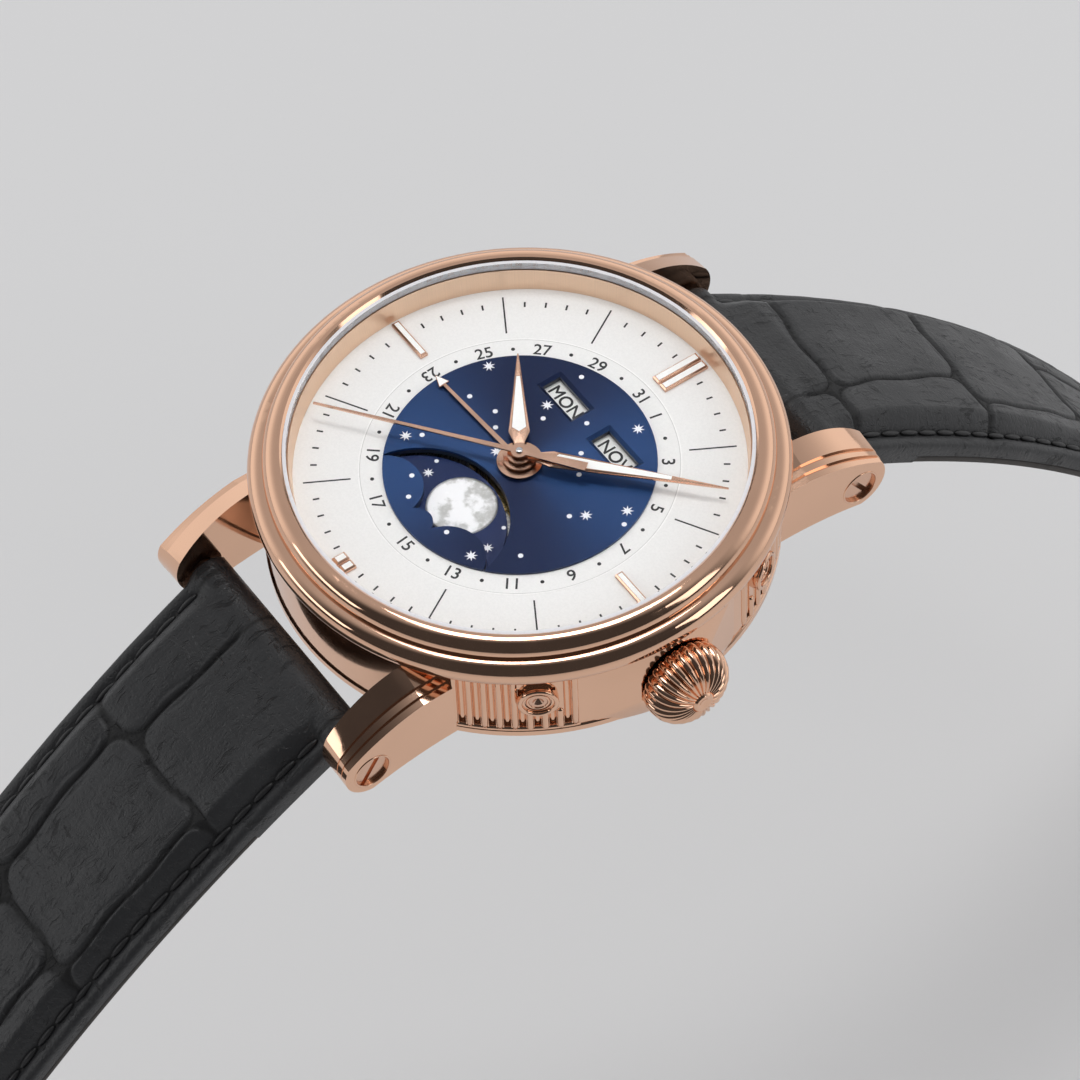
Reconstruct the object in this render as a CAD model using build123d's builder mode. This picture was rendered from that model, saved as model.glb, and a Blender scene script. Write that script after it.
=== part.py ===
from build123d import *
from math import acos, atan2, copysign, cos, degrees, hypot, pi, radians, sin, sqrt
import os

os.makedirs("parts", exist_ok=True)

# Moon phase watch. Millimetres, origin at the middle of the case back face,
# +X to the crown at three o'clock, +Y to twelve o'clock, +Z out of the dial.

# Case, from the back face up
back_flange_thickness = 1.1
case_height = 7.2
case_radius = 19.75
cavity_radius = 16.8
lip_height = 0.65
lip_depth = 0.14
crown_axis_height = 4.6

# Dial and what lies on it
dial_thickness = 0.4
dial_radius = 17.4
dial_seat_depth = 0.1
dial_hole_radius = 1.3
dial_foot_radius = 0.35
dial_foot_circle = 14.4
dial_foot_angle = 29.0
centre_disc_radius = 10.38
centre_disc_thickness = 0.22
centre_disc_support = 0.25

# Rehaut, crystal and bezel
rehaut_foot_radius = 17.15
rehaut_top_radius = 17.38
rehaut_outer_radius = 17.95
rehaut_height = 2.0
crystal_radius = 17.5
crystal_edge_height = 0.8
crystal_rise = 0.35
gasket_width = 0.28
gasket_height = 0.74
bezel_wall_play = 0.1
bezel_height = 3.24
bezel_foot_radius = 20.1
bezel_outer_radius = 20.55
bezel_widest_height = 0.75
bezel_groove_radius = 19.35
bezel_groove_height = 2.0
bezel_upper_roll_radius = 19.06
bezel_upper_roll_height = 2.86
bezel_land_radius = 18.25
bezel_inner_chamfer = 0.2

# Case back
back_radius = 18.6
back_chamfer = 0.45
back_window_radius = 12.6
back_glass_radius = 13.35
back_glass_thickness = 0.9
back_glass_lip = 0.25
back_spigot_width = 0.5
back_spigot_height = 0.5
back_fit = 0.1
back_gasket_radius = 17.3
back_gasket_width = 0.4
back_gasket_height = 0.2
back_screw_count = 6
back_screw_circle = 17.95
back_screw_head_radius = 0.45
back_screw_head_height = 0.45
back_screw_radius = 0.25
back_screw_length = 2.2
back_screw_slot = 0.16
back_screw_slot_depth = 0.15

# Lugs, their bars and screws
lug_gap_half = 10.0
lug_ledge_width = 1.8
lug_step_width = 0.55
lug_side_width = 0.55
lug_step_drop = 0.34
lug_face_fall = 0.75
lug_band_fall = 0.12
lug_root = 13.0
lug_shoulder = 17.6
lug_crest = 21.5
lug_crest_drop = 1.15
lug_tip = 24.45
lug_tip_height = 4.65
lug_nose = 24.75
lug_nose_height = 2.4
lug_heel = 22.5
lug_heel_height = 0.1
lug_belly = 18.5
lug_belly_height = 0.9
bar_y = 22.4
bar_height = 2.2
bar_radius = 0.9
bar_end_play = 0.05
lug_screw_head_radius = 1.45
lug_screw_head_depth = 0.6
lug_screw_recess = 0.25
lug_screw_radius = 0.55
lug_screw_grip = 2.4
lug_screw_slot = 0.42
lug_screw_slot_depth = 0.35

# Fluted side panels and correctors
panel_centre_angle = 36.3
flute_count = 8
flute_pitch = 3.3
flute_radius = 0.27
flute_centre_radius = 19.6
flute_floor = 0.7
rosette_angle = 31.1
rosette_height = 5.7
collar_radius = 1.55
collar_face = 20.1
collar_round = 0.22
collar_lip_radius = 1.2
collar_lip_drop = 0.12
collar_root = 18.2
corrector_radius = 0.95
corrector_face = 19.9
corrector_head_length = 1.3
corrector_stem_radius = 0.45
corrector_stem_length = 0.85
corrector_travel = 0.75
corrector_dimple = 0.42
corrector_ring_radius = 0.68
corrector_ring_width = 0.12
corrector_ring_depth = 0.12
running_play = 0.04

# Crown shoulder on the case: facets that narrow from the fluted panels to the crown
shoulder_base_radius = 8.5
shoulder_top_radius = 3.4
shoulder_base = 17.87
shoulder_base_half = 7.7
shoulder_face_half = 3.2
shoulder_face = 20.2

# Crown, its tube, gasket and stem
tube_radius = 1.25
tube_bore_radius = 0.75
tube_inner_end = 16.95
tube_outer_end = 20.55
crown_back = 20.3
crown_neck_radius = 3.0
crown_body_radius = 3.45
crown_body_place = 0.85
crown_length = 3.3
crown_cap_radius = 0.95
crown_cap_height = 0.2
crown_cap_dimple_radius = 0.62
crown_bore_radius = 1.55
crown_bore_depth = 1.5
crown_flute_count = 28
crown_flute_radius = 0.22
crown_flute_sink = 0.15
crown_gasket_width = 0.24
crown_gasket_thickness = 0.5
crown_gasket_place = 0.5
stem_radius = 0.45
stem_inner_end = 9.4
stem_grip = 0.8
stem_wheel_radius = 0.85
stem_wheel_place = 10.4
stem_wheel_width = 0.8
stem_wheel_teeth = 14
stem_hole_play = 0.15
crown_pull_travel = 1.0

# Movement: heights of the layers, counted from the back glass upwards
rotor_gap = 0.25
rotor_rim_thickness = 0.8
rotor_web_thickness = 0.35
rotor_bridge_gap = 0.15
bridge_thickness = 0.6
train_space = 1.2
plate_thickness = 1.6
motion_space = 0.95
calendar_thickness = 0.4
movement_radius = 13.0
plate_rim_width = 0.9
ring_fit = 0.05
ring_rise = 0.1
rotor_radius = 12.2
rotor_rim_width = 2.2
rotor_hub_radius = 2.2
rotor_arm_width = 3.2
bearing_radius = 1.05
bearing_flange_radius = 1.5
bearing_flange_thickness = 0.15

# Wheels: a level is a height in the train space
wheel_thickness = 0.18
level_base = 0.08
level_step = 0.39
pinion_overrun = 0.06
arbor_radius = 0.2
pivot_radius = 0.1
pivot_play = 0.04
pivot_depth = 0.35
seconds_arbor_radius = 0.12
third_arbor_radius = 0.15
addendum_share = 0.8
dedendum_share = 1.1
tooth_root_share = 0.27
tooth_tip_share = 0.1
half_share = 0.5
wheel_rim_width = 0.35
wheel_hub_radius = 0.5
wheel_spoke_width = 0.32
wheel_spokes = 5

barrel_teeth = 60
barrel_pitch_radius = 3.9
barrel_drum_radius = 3.7
barrel_circle = 7.7
second_pinion_teeth = 10
second_wheel_teeth = 64
second_wheel_pitch_radius = 3.2
third_pinion_teeth = 8
third_wheel_teeth = 60
third_wheel_pitch_radius = 3.0
fourth_pinion_teeth = 8
fourth_wheel_teeth = 60
fourth_wheel_pitch_radius = 3.0
escape_pinion_teeth = 6
escape_teeth = 20
escape_radius = 1.75
escape_root_radius = 1.35
third_angle = 95.0
second_angle = 150.0
escape_angle = -70.0
balance_circle = 7.25
balance_angle = -50.6
balance_radius = 3.65
balance_rim_width = 0.45
balance_roller_radius = 0.34
spring_inner_radius = 0.4
spring_outer_radius = 1.7
spring_width = 0.07
spring_height = 0.16
spring_turns = 6
pallet_share = 0.545
pallet_arm_half = 1.15
pallet_arm_width = 0.3
pallet_play = 0.06
pallet_stone_length = 0.3

# Motion work and hand pipes
drive_pinion_teeth = 8
drive_wheel_teeth = 64
motion_base = 0.1
cannon_teeth = 12
cannon_pitch_radius = 0.875
minute_wheel_teeth = 36
minute_wheel_angle = -60.0
minute_pinion_teeth = 10
hour_wheel_teeth = 40
motion_pinion_gap = 0.12
motion_pinion_height = 0.25
cannon_bore_radius = 0.16
cannon_pipe_radius = 0.45
hour_bore_radius = 0.5
hour_pipe_radius = 0.8
date_bore_radius = 0.84
date_pipe_radius = 1.15
date_wheel_teeth = 31
date_wheel_radius = 4.0
date_wheel_depth = 0.5

# Calendar discs
disc_radius = 6.95
disc_thickness = 0.2
disc_drop = 0.4
disc_arbor_radius = 0.5
disc_arbor_bore_play = 0.05
day_axis_x = -7.6
day_axis_y = 4.4
month_axis_x = 7.6
month_axis_y = 4.4
moon_axis_x = 0.0
moon_axis_y = -9.6
moon_orbit = 4.22
moon_radius = 2.69
moon_relief = 0.04

# Openings in the dial
window_width = 3.92
window_height = 1.63
window_bevel = 0.3
day_window_x = -3.17
month_window_x = 3.29
window_y = 6.43
moon_arc_y = -9.25
moon_arc_radius = 6.9
hump_x = 4.15
hump_y = -9.6
hump_radius = 3.03
middle_hump_y = -9.5
middle_hump_radius = 1.33
hump_base_y = -9.35

# Applied markers
marker_height = 0.35
marker_chamfer = 0.1
marker_inner = 12.85
marker_outer = 16.85
marker_width = 0.66
marker_pair_width = 0.76
marker_pair_gap = 0.14
short_marker_inner = 15.35
short_marker_outer = 16.45

# Hands: heights above the dial and outlines
date_hand_height = 0.4
hour_hand_height = 0.78
minute_hand_height = 1.16
seconds_hand_height = 1.54
blade_thickness = 0.15
date_hub_radius = 1.75
hour_hub_radius = 1.25
minute_hub_radius = 0.92
seconds_hub_radius = 0.63
seconds_cap_radius = 0.2
seconds_cap_height = 0.12
hour_hand_length = 10.0
hour_hand_width = 1.6
hour_hand_widest = 2.4
hour_hand_neck = 0.75
hour_hand_neck_place = 1.35
minute_hand_length = 16.05
minute_hand_width = 1.5
minute_hand_widest = 2.5
minute_hand_neck = 0.66
minute_hand_neck_place = 1.1
hand_tip_width = 0.08
seconds_hand_length = 16.4
seconds_hand_root = 0.42
seconds_hand_tip = 0.16
seconds_tail_length = 5.3
seconds_tail_width = 0.8
seconds_tail_root = 0.45
date_hand_length = 10.55
date_hand_root = 0.42
date_hand_tip_width = 0.26
date_arrow_length = 1.15
date_arrow_width = 0.95
hour_hand_angle = 303.9
minute_hand_angle = 47.8
seconds_hand_angle = 232.7
date_hand_angle = 267.1

# Bridges, screws and jewels
barrel_bridge_edge = -1.75
bridge_slit = 0.1
barrel_bridge_low = -5.0
balance_window_radius = 3.8
cock_width = 3.0
cock_boss_radius = 1.6
jewel_radius = 0.36
jewel_thickness = 0.3
movement_screw_radius = 0.28
movement_screw_head_radius = 0.42
movement_screw_head_height = 0.3
movement_screw_length = 1.1
movement_screw_circle = 12.5
movement_screw_slot = 0.12
train_screw_angles = (80.0, 40.0, -4.0)
barrel_screw_angles = (115.0, 160.0, 195.0)
cock_screw_angles = (-50.6,)

# Strap
strap_half_width = 9.7
strap_end_half_width = 8.0
strap_loop_radius = 1.75
strap_loop_play = 0.05
strap_rim_rise = 1.05
strap_rim_rise_end = 0.9
strap_floor = 0.8
strap_floor_end = 0.75
lining_thickness = 0.6
lining_first_station = 2
short_lining_last = 2
pad_half_width = 7.4
pad_half_width_end = 5.8
strap_step = 5.0
short_strap_length = 75.0
short_strap_start = 33.2
short_strap_turns = (7.2, 8.4, 8.6, 9.0)
long_strap_length = 115.0
long_strap_start = 27.6
long_strap_turns = (12.6, 12.0, 12.0, 12.0)
pad_places_share = (0.0, 0.045, 0.12, 0.3, 0.55, 0.8, 1.0)
pad_heights_share = (0.6, 0.92, 1.0, 0.94, 0.62, 0.42, 0.4)
pad_rise = 2.45
strap_tip_length = 11.0
tip_round_x_share = 0.78
tip_round_y_share = 0.58
strap_hole_count = 7
strap_hole_pitch = 6.5
strap_hole_first = 24.0
strap_hole_radius = 0.95

# Buckle and keepers
buckle_bar_radius = 0.75
buckle_loop_radius = 1.6
tongue_slot_half = 1.55
tongue_slot_length = 7.5
buckle_side_play = 0.3
buckle_arm_width = 1.9
buckle_thickness = 1.7
buckle_reach = 9.4
buckle_front_width = 2.1
buckle_back_reach = 1.5
buckle_corner = 2.2
buckle_pin_radius = 0.4
buckle_pin_depth = 1.2
tongue_half_width = 1.2
tongue_thickness = 0.9
tongue_ring_radius = 1.25
tongue_overhang = 0.3
keeper_width = 4.2
keeper_wall = 0.9
keeper_play = 0.3
keeper_room = 3.4
keeper_round = 0.4
keeper_contact_gap = 0.02
keeper_free_gap = 0.12
fixed_keeper_place = 67.0
free_keeper_place = 60.0

cut_over = 0.5
straight_bow = 0.0005

# Heights that follow from the sizes above
case_bottom = back_flange_thickness
case_top = case_bottom + case_height
dial_bottom = case_top - dial_seat_depth
dial_top = dial_bottom + dial_thickness
crystal_bottom = dial_top + rehaut_height
bezel_top = case_top + bezel_height
bezel_inner_radius = crystal_radius + gasket_width
bezel_cavity_radius = rehaut_outer_radius + bezel_wall_play
glass_top = back_glass_lip + back_glass_thickness
rotor_bottom = glass_top + rotor_gap
rotor_top = rotor_bottom + rotor_rim_thickness
bridge_bottom = rotor_top + rotor_bridge_gap
train_floor = bridge_bottom + bridge_thickness
plate_bottom = train_floor + train_space
plate_top = plate_bottom + plate_thickness
calendar_bottom = plate_top + motion_space
calendar_top = calendar_bottom + calendar_thickness
level_a = train_floor + level_base
level_b = level_a + level_step
level_c = level_b + level_step
disc_top = dial_bottom - disc_drop
disc_bottom = disc_top - disc_thickness
lug_outer = lug_gap_half + lug_ledge_width + lug_step_width + lug_side_width
ring_bottom = case_bottom + back_spigot_height + ring_rise
ring_radius = cavity_radius - ring_fit


def polar(radius, angle):
    """Point at a radius and an angle in degrees, counted from +X to +Y."""
    return (radius * cos(radians(angle)), radius * sin(radians(angle)))


def clock(radius, angle):
    """Point at a radius and a dial angle, counted clockwise from twelve."""
    return (radius * sin(radians(angle)), radius * cos(radians(angle)))


def gear_points(teeth, pitch_radius, turn):
    """Outline of a wheel with straight-sided teeth, one of them at turn (radians)."""
    step = 2 * pi / teeth
    module = 2 * pitch_radius / teeth
    root = pitch_radius - dedendum_share * module
    tip = pitch_radius + addendum_share * module
    points = []
    for k in range(teeth):
        a = turn + k * step
        for radius, lean in ((root, -tooth_root_share), (tip, -tooth_tip_share),
                             (tip, tooth_tip_share), (root, tooth_root_share)):
            points.append((radius * cos(a + lean * step), radius * sin(a + lean * step)))
    return points


def root_radius(teeth, pitch_radius):
    return pitch_radius - dedendum_share * 2 * pitch_radius / teeth


def facing_turn(towards, teeth):
    """Turn of a follower that shows a gap to a driver lying in the direction towards."""
    return towards + pi / teeth


# Places of the wheels on the plate
third_pinion_radius = second_wheel_pitch_radius * third_pinion_teeth / second_wheel_teeth
second_pinion_radius = barrel_pitch_radius * second_pinion_teeth / barrel_teeth
fourth_pinion_radius = third_wheel_pitch_radius * fourth_pinion_teeth / third_wheel_teeth
escape_pinion_radius = fourth_wheel_pitch_radius * escape_pinion_teeth / fourth_wheel_teeth
third_at = polar(third_wheel_pitch_radius + fourth_pinion_radius, third_angle)
second_reach = second_wheel_pitch_radius + third_pinion_radius
second_at = (third_at[0] + polar(second_reach, second_angle)[0],
             third_at[1] + polar(second_reach, second_angle)[1])
escape_at = polar(fourth_wheel_pitch_radius + escape_pinion_radius, escape_angle)
balance_at = polar(balance_circle, balance_angle)
second_circle = hypot(second_at[0], second_at[1])
barrel_reach = barrel_pitch_radius + second_pinion_radius
barrel_spread = acos((second_circle**2 + barrel_circle**2 - barrel_reach**2)
                     / (2 * second_circle * barrel_circle))
barrel_direction = degrees(atan2(second_at[1], second_at[0]) + barrel_spread)
barrel_at = polar(barrel_circle, barrel_direction)
pallet_at = (escape_at[0] + pallet_share * (balance_at[0] - escape_at[0]),
             escape_at[1] + pallet_share * (balance_at[1] - escape_at[1]))
drive_centre = hypot(third_at[0], third_at[1])
drive_pinion_radius = drive_centre * drive_pinion_teeth / (drive_pinion_teeth + drive_wheel_teeth)
drive_wheel_radius = drive_centre - drive_pinion_radius
minute_wheel_radius = cannon_pitch_radius * minute_wheel_teeth / cannon_teeth
minute_reach = cannon_pitch_radius + minute_wheel_radius
minute_wheel_at = polar(minute_reach, minute_wheel_angle)
minute_pinion_radius = minute_reach * minute_pinion_teeth / (minute_pinion_teeth + hour_wheel_teeth)
hour_wheel_radius = minute_reach - minute_pinion_radius


def direction(from_at, to_at):
    return atan2(to_at[1] - from_at[1], to_at[0] - from_at[0])


origin_at = (0, 0)


# Strap paths: stations along the middle of the strap, from the lug bar outwards.
# Each station is (distance, y, z, slope) with the slope in degrees below level.
def strap_stations(length, start, turns):
    count = round(length / strap_step)
    step = length / count
    span = length / len(turns)
    stations = [(0, bar_y, bar_height, start)]
    y = bar_y
    z = bar_height
    slope = start
    for k in range(count):
        share = min((k + half_share) * step / span, len(turns) - half_share)
        turn = turns[int(share)] * step / span
        middle = radians(slope + turn / 2)
        y = y + step * cos(middle)
        z = z - step * sin(middle)
        slope = slope + turn
        stations.append(((k + 1) * step, y, z, slope))
    return stations


def station_at(stations, distance):
    for low, high in zip(stations, stations[1:]):
        if distance <= high[0]:
            share = (distance - low[0]) / (high[0] - low[0])
            return tuple(a + share * (b - a) for a, b in zip(low, high))
    return stations[-1]


def offset_points(stations, rises):
    """Points that lie by the given rises above the stations, square to the strap."""
    points = []
    for (distance, y, z, slope), rise in zip(stations, rises):
        points.append((y + rise * sin(radians(slope)), z + rise * cos(radians(slope))))
    return points


def even_count(stations):
    """Stations that pair up into arcs: an even number of steps."""
    if len(stations) % 2 == 1:
        return stations
    extra = []
    for low, high in zip(stations[:1], stations[1:2]):
        extra = [tuple((a + b) / 2 for a, b in zip(low, high))]
    return stations[:1] + extra + stations[1:]


def table_value(places, heights, share):
    for (low, high, a, b) in zip(places, places[1:], heights, heights[1:]):
        if share <= high:
            return a + (b - a) * (share - low) / (high - low)
    return heights[-1]


short_stations = even_count(strap_stations(short_strap_length, short_strap_start, short_strap_turns))
long_stations = even_count(strap_stations(long_strap_length, long_strap_start, long_strap_turns))


def rim_rises(stations):
    end = stations[-1][0]
    return [strap_rim_rise + (strap_rim_rise_end - strap_rim_rise) * s[0] / end for s in stations]


def floor_drops_of(stations, end):
    return [-strap_floor - (strap_floor_end - strap_floor) * s[0] / end for s in stations]


def floor_drops(stations):
    return floor_drops_of(stations, stations[-1][0])


def lining_rises_of(stations, end):
    return [drop + lining_thickness for drop in floor_drops_of(stations, end)]


def pad_rises(stations):
    end = stations[-1][0]
    return [pad_rise * table_value(pad_places_share, pad_heights_share, s[0] / end) for s in stations]


def strap_plane(station, side):
    """Plane on the strap: x across, y along it away from the case, z out of its face."""
    slope = radians(station[3])
    return Plane(origin=(0, side * station[1], station[2]),
                 x_dir=(side, 0, 0),
                 z_dir=(0, side * sin(slope), cos(slope)))


def side_plane(side):
    """Plane of the strap's side view: its x is the distance from the case middle."""
    return Plane(origin=(0, 0, 0), x_dir=(0, side, 0), z_dir=(side, 0, 0))


def write(part, name):
    part.label = name
    export_step(part, "parts/" + name + ".step")


# Middle case: a ring with four lugs, fluted panels, collars and crown shoulders
def lug_section(drop):
    """Side outline of a lug at one distance from the middle, its top lowered by drop."""
    root_top = case_top - drop
    with BuildLine() as line:
        Polyline((lug_root, case_bottom), (lug_root, root_top), (lug_shoulder, root_top))
        ThreePointArc((lug_shoulder, root_top), (lug_crest, case_top - lug_crest_drop - drop),
                      (lug_tip, lug_tip_height - drop * half_share))
        ThreePointArc((lug_tip, lug_tip_height - drop * half_share), (lug_nose, lug_nose_height),
                      (lug_heel, lug_heel_height))
        ThreePointArc((lug_heel, lug_heel_height), (lug_belly, lug_belly_height),
                      (lug_root, case_bottom))
    return line


lug_slabs = []
slab_start = lug_gap_half
slab_drop = 0
for slab_width, slab_fall in ((lug_ledge_width, lug_face_fall), (lug_step_width, lug_band_fall),
                              (lug_side_width, lug_band_fall)):
    lug_slabs.append((slab_start, slab_drop, slab_start + slab_width, slab_drop + slab_fall))
    slab_start = slab_start + slab_width
    slab_drop = slab_drop + slab_fall + lug_step_drop

quarter_signs = ((1, 1), (-1, 1), (-1, -1), (1, -1))

with BuildPart() as lug_set:
    for start, start_drop, end, end_drop in lug_slabs:
        with BuildSketch(Plane.YZ.offset(start)):
            add(lug_section(start_drop).line)
            make_face()
        with BuildSketch(Plane.YZ.offset(end)):
            add(lug_section(end_drop).line)
            make_face()
        loft(ruled=True)
    mirror(about=Plane.XZ)
    mirror(about=Plane.YZ)


def rosette_plane(sx, sy, radius):
    """Plane square to a corrector's axis, at a radius from the middle of the watch."""
    turn = atan2(sy * sin(radians(rosette_angle)), sx * cos(radians(rosette_angle)))
    outwards = (cos(turn), sin(turn), 0)
    return Plane(origin=(radius * outwards[0], radius * outwards[1], rosette_height),
                 z_dir=outwards)


flute_places = []
for sx, sy in quarter_signs:
    for k in range(flute_count):
        place = radians(panel_centre_angle + (k - (flute_count - 1) / 2) * flute_pitch)
        flute_places.append((sx * flute_centre_radius * cos(place),
                             sy * flute_centre_radius * sin(place),
                             case_bottom + flute_floor + flute_radius))

head_floor = corrector_face - corrector_head_length - corrector_travel - running_play
with BuildPart() as corrector_bores:
    for sx, sy in quarter_signs:
        with BuildSketch(rosette_plane(sx, sy, cavity_radius - cut_over)):
            Circle(corrector_stem_radius + running_play)
        extrude(amount=head_floor - cavity_radius + 2 * cut_over)
        with BuildSketch(rosette_plane(sx, sy, head_floor)):
            Circle(corrector_radius + running_play)
        extrude(amount=collar_face - head_floor + cut_over)

# Crown shoulder: a cone about the crown's axis, kept inside two flat sides
with BuildPart() as crown_shoulder:
    with BuildSketch(Plane.XZ):
        with BuildLine():
            Polyline((shoulder_base, crown_axis_height),
                     (shoulder_base, crown_axis_height + shoulder_base_radius),
                     (shoulder_face, crown_axis_height + shoulder_top_radius),
                     (shoulder_face, crown_axis_height), close=True)
        make_face()
    revolve(axis=Axis((0, 0, crown_axis_height), (1, 0, 0)))
    with BuildSketch(Plane.XY.offset(case_bottom)):
        with BuildLine():
            Polyline((shoulder_base - cut_over, -shoulder_base_half),
                     (shoulder_base, -shoulder_base_half),
                     (shoulder_face, -shoulder_face_half), (shoulder_face, shoulder_face_half),
                     (shoulder_base, shoulder_base_half),
                     (shoulder_base - cut_over, shoulder_base_half), close=True)
        make_face()
    extrude(amount=case_height, mode=Mode.INTERSECT)

# Corrector collar on the X axis, a ring with a rounded rim and a sunk face
with BuildPart() as corrector_collar:
    with BuildSketch(Plane.XZ):
        with BuildLine():
            Polyline((collar_face - collar_lip_drop, 0), (collar_root, 0),
                     (collar_root, collar_radius), (collar_face - collar_round, collar_radius))
            RadiusArc((collar_face - collar_round, collar_radius),
                      (collar_face, collar_radius - collar_round), collar_round)
            Polyline((collar_face, collar_radius - collar_round),
                     (collar_face - collar_lip_drop, collar_lip_radius),
                     (collar_face - collar_lip_drop, 0))
        make_face()
    revolve(axis=Axis.X)

with BuildPart() as middle_case:
    with BuildSketch(Plane.XZ):
        with BuildLine():
            Polyline((cavity_radius - cut_over, case_bottom),
                     (case_radius - lip_depth, case_bottom),
                     (case_radius, case_bottom + lip_depth), (case_radius, case_bottom + lip_height),
                     (case_radius - lip_depth, case_bottom + lip_height + lip_depth),
                     (case_radius - lip_depth, case_top - lip_depth),
                     (case_radius, case_top), (cavity_radius - cut_over, case_top), close=True)
        make_face()
    revolve(axis=Axis.Z)
    add(crown_shoulder.part)
    add(lug_set.part)
    with Locations(*flute_places):
        Cylinder(flute_radius, case_height, align=(Align.CENTER, Align.CENTER, Align.MIN),
                 mode=Mode.SUBTRACT)
    with Locations(*flute_places):
        Sphere(flute_radius, mode=Mode.SUBTRACT)
    # collars of the correctors
    for sx, sy in quarter_signs:
        turn = degrees(atan2(sy * sin(radians(rosette_angle)), sx * cos(radians(rosette_angle))))
        add(Location((0, 0, rosette_height), (0, 0, turn)) * corrector_collar.part)
    # movement cavity, dial seat, seat of the back gasket, screw holes
    with BuildSketch(Plane.XY.offset(case_bottom)):
        Circle(cavity_radius)
    extrude(amount=case_height, mode=Mode.SUBTRACT)
    with BuildSketch(Plane.XY.offset(dial_bottom)):
        Circle(dial_radius + ring_fit)
    extrude(amount=dial_seat_depth, mode=Mode.SUBTRACT)
    with BuildSketch(Plane.XY.offset(case_bottom)):
        Circle(back_gasket_radius + back_gasket_width / 2)
        Circle(back_gasket_radius - back_gasket_width / 2, mode=Mode.SUBTRACT)
    extrude(amount=back_gasket_height, mode=Mode.SUBTRACT)
    with BuildSketch(Plane.XY.offset(case_bottom)):
        with PolarLocations(back_screw_circle, back_screw_count):
            Circle(back_screw_radius)
    extrude(amount=back_screw_length, mode=Mode.SUBTRACT)
    # crown tube hole
    with BuildSketch(Plane.YZ.offset(cavity_radius - cut_over)):
        with Locations((0, crown_axis_height)):
            Circle(tube_radius)
    extrude(amount=shoulder_face, mode=Mode.SUBTRACT)
    add(corrector_bores.part, mode=Mode.SUBTRACT)
    # lug screw holes with their seats
    for sx, sy in quarter_signs:
        with BuildSketch(Plane.YZ.offset(sx * (lug_gap_half - cut_over))):
            with Locations((sy * bar_y, bar_height)):
                Circle(lug_screw_radius)
        extrude(amount=sx * (lug_outer - lug_gap_half + 2 * cut_over), mode=Mode.SUBTRACT)
        with BuildSketch(Plane.YZ.offset(sx * (lug_outer - lug_screw_recess - lug_screw_head_depth))):
            with Locations((sy * bar_y, bar_height)):
                Circle(lug_screw_head_radius)
        extrude(amount=sx * (lug_outer - lug_gap_half), mode=Mode.SUBTRACT)
write(middle_case.part, "middle_case")

# Bezel with two convex rolls
with BuildPart() as bezel:
    with BuildSketch(Plane.XZ):
        with BuildLine():
            Line((bezel_cavity_radius, case_top), (bezel_foot_radius, case_top))
            ThreePointArc((bezel_foot_radius, case_top),
                          (bezel_outer_radius, case_top + bezel_widest_height),
                          (bezel_groove_radius, case_top + bezel_groove_height))
            ThreePointArc((bezel_groove_radius, case_top + bezel_groove_height),
                          (bezel_upper_roll_radius, case_top + bezel_upper_roll_height),
                          (bezel_land_radius, bezel_top))
            Polyline((bezel_land_radius, bezel_top),
                     (bezel_inner_radius + bezel_inner_chamfer, bezel_top),
                     (bezel_inner_radius, bezel_top - bezel_inner_chamfer),
                     (bezel_inner_radius, crystal_bottom), (bezel_cavity_radius, crystal_bottom),
                     (bezel_cavity_radius, case_top))
        make_face()
    revolve(axis=Axis.Z)
write(bezel.part, "bezel")

# Crystal with a slight dome, and the pale ring gasket round it
with BuildPart() as crystal:
    with BuildSketch(Plane.XZ):
        with BuildLine():
            Polyline((0, crystal_bottom), (crystal_radius, crystal_bottom),
                     (crystal_radius, crystal_bottom + crystal_edge_height))
            RadiusArc((crystal_radius, crystal_bottom + crystal_edge_height),
                      (0, crystal_bottom + crystal_edge_height + crystal_rise),
                      -(crystal_radius**2 + crystal_rise**2) / (2 * crystal_rise))
            Line((0, crystal_bottom + crystal_edge_height + crystal_rise), (0, crystal_bottom))
        make_face()
    revolve(axis=Axis.Z)
write(crystal.part, "crystal")

with BuildPart() as crystal_gasket:
    with BuildSketch(Plane.XY.offset(crystal_bottom)):
        Circle(bezel_inner_radius)
        Circle(crystal_radius, mode=Mode.SUBTRACT)
    extrude(amount=gasket_height)
write(crystal_gasket.part, "crystal_gasket")

# Rehaut: the sloping flange between the dial and the crystal
with BuildPart() as rehaut_ring:
    with BuildSketch(Plane.XZ):
        with BuildLine():
            Polyline((rehaut_foot_radius, dial_top), (rehaut_outer_radius, dial_top),
                     (rehaut_outer_radius, crystal_bottom), (rehaut_top_radius, crystal_bottom),
                     close=True)
        make_face()
    revolve(axis=Axis.Z)
write(rehaut_ring.part, "rehaut_ring")

# Case back, its glass, gasket and screws
with BuildPart() as case_back:
    with BuildSketch(Plane.XY):
        Circle(back_radius)
    extrude(amount=back_flange_thickness)
    chamfer(case_back.edges().group_by(Axis.Z)[0], length=back_chamfer)
    with BuildSketch(Plane.XY.offset(back_flange_thickness)):
        Circle(cavity_radius - back_fit)
        Circle(cavity_radius - back_fit - back_spigot_width, mode=Mode.SUBTRACT)
    extrude(amount=back_spigot_height)
    with BuildSketch(Plane.XY):
        Circle(back_window_radius)
    extrude(amount=back_flange_thickness, mode=Mode.SUBTRACT)
    with BuildSketch(Plane.XY.offset(back_glass_lip)):
        Circle(back_glass_radius)
    extrude(amount=back_flange_thickness, mode=Mode.SUBTRACT)
    with BuildSketch(Plane.XY):
        with PolarLocations(back_screw_circle, back_screw_count):
            Circle(back_screw_radius)
    extrude(amount=back_flange_thickness, mode=Mode.SUBTRACT)
    with BuildSketch(Plane.XY):
        with PolarLocations(back_screw_circle, back_screw_count):
            Circle(back_screw_head_radius)
    extrude(amount=back_screw_head_height, mode=Mode.SUBTRACT)
write(case_back.part, "case_back")

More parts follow.
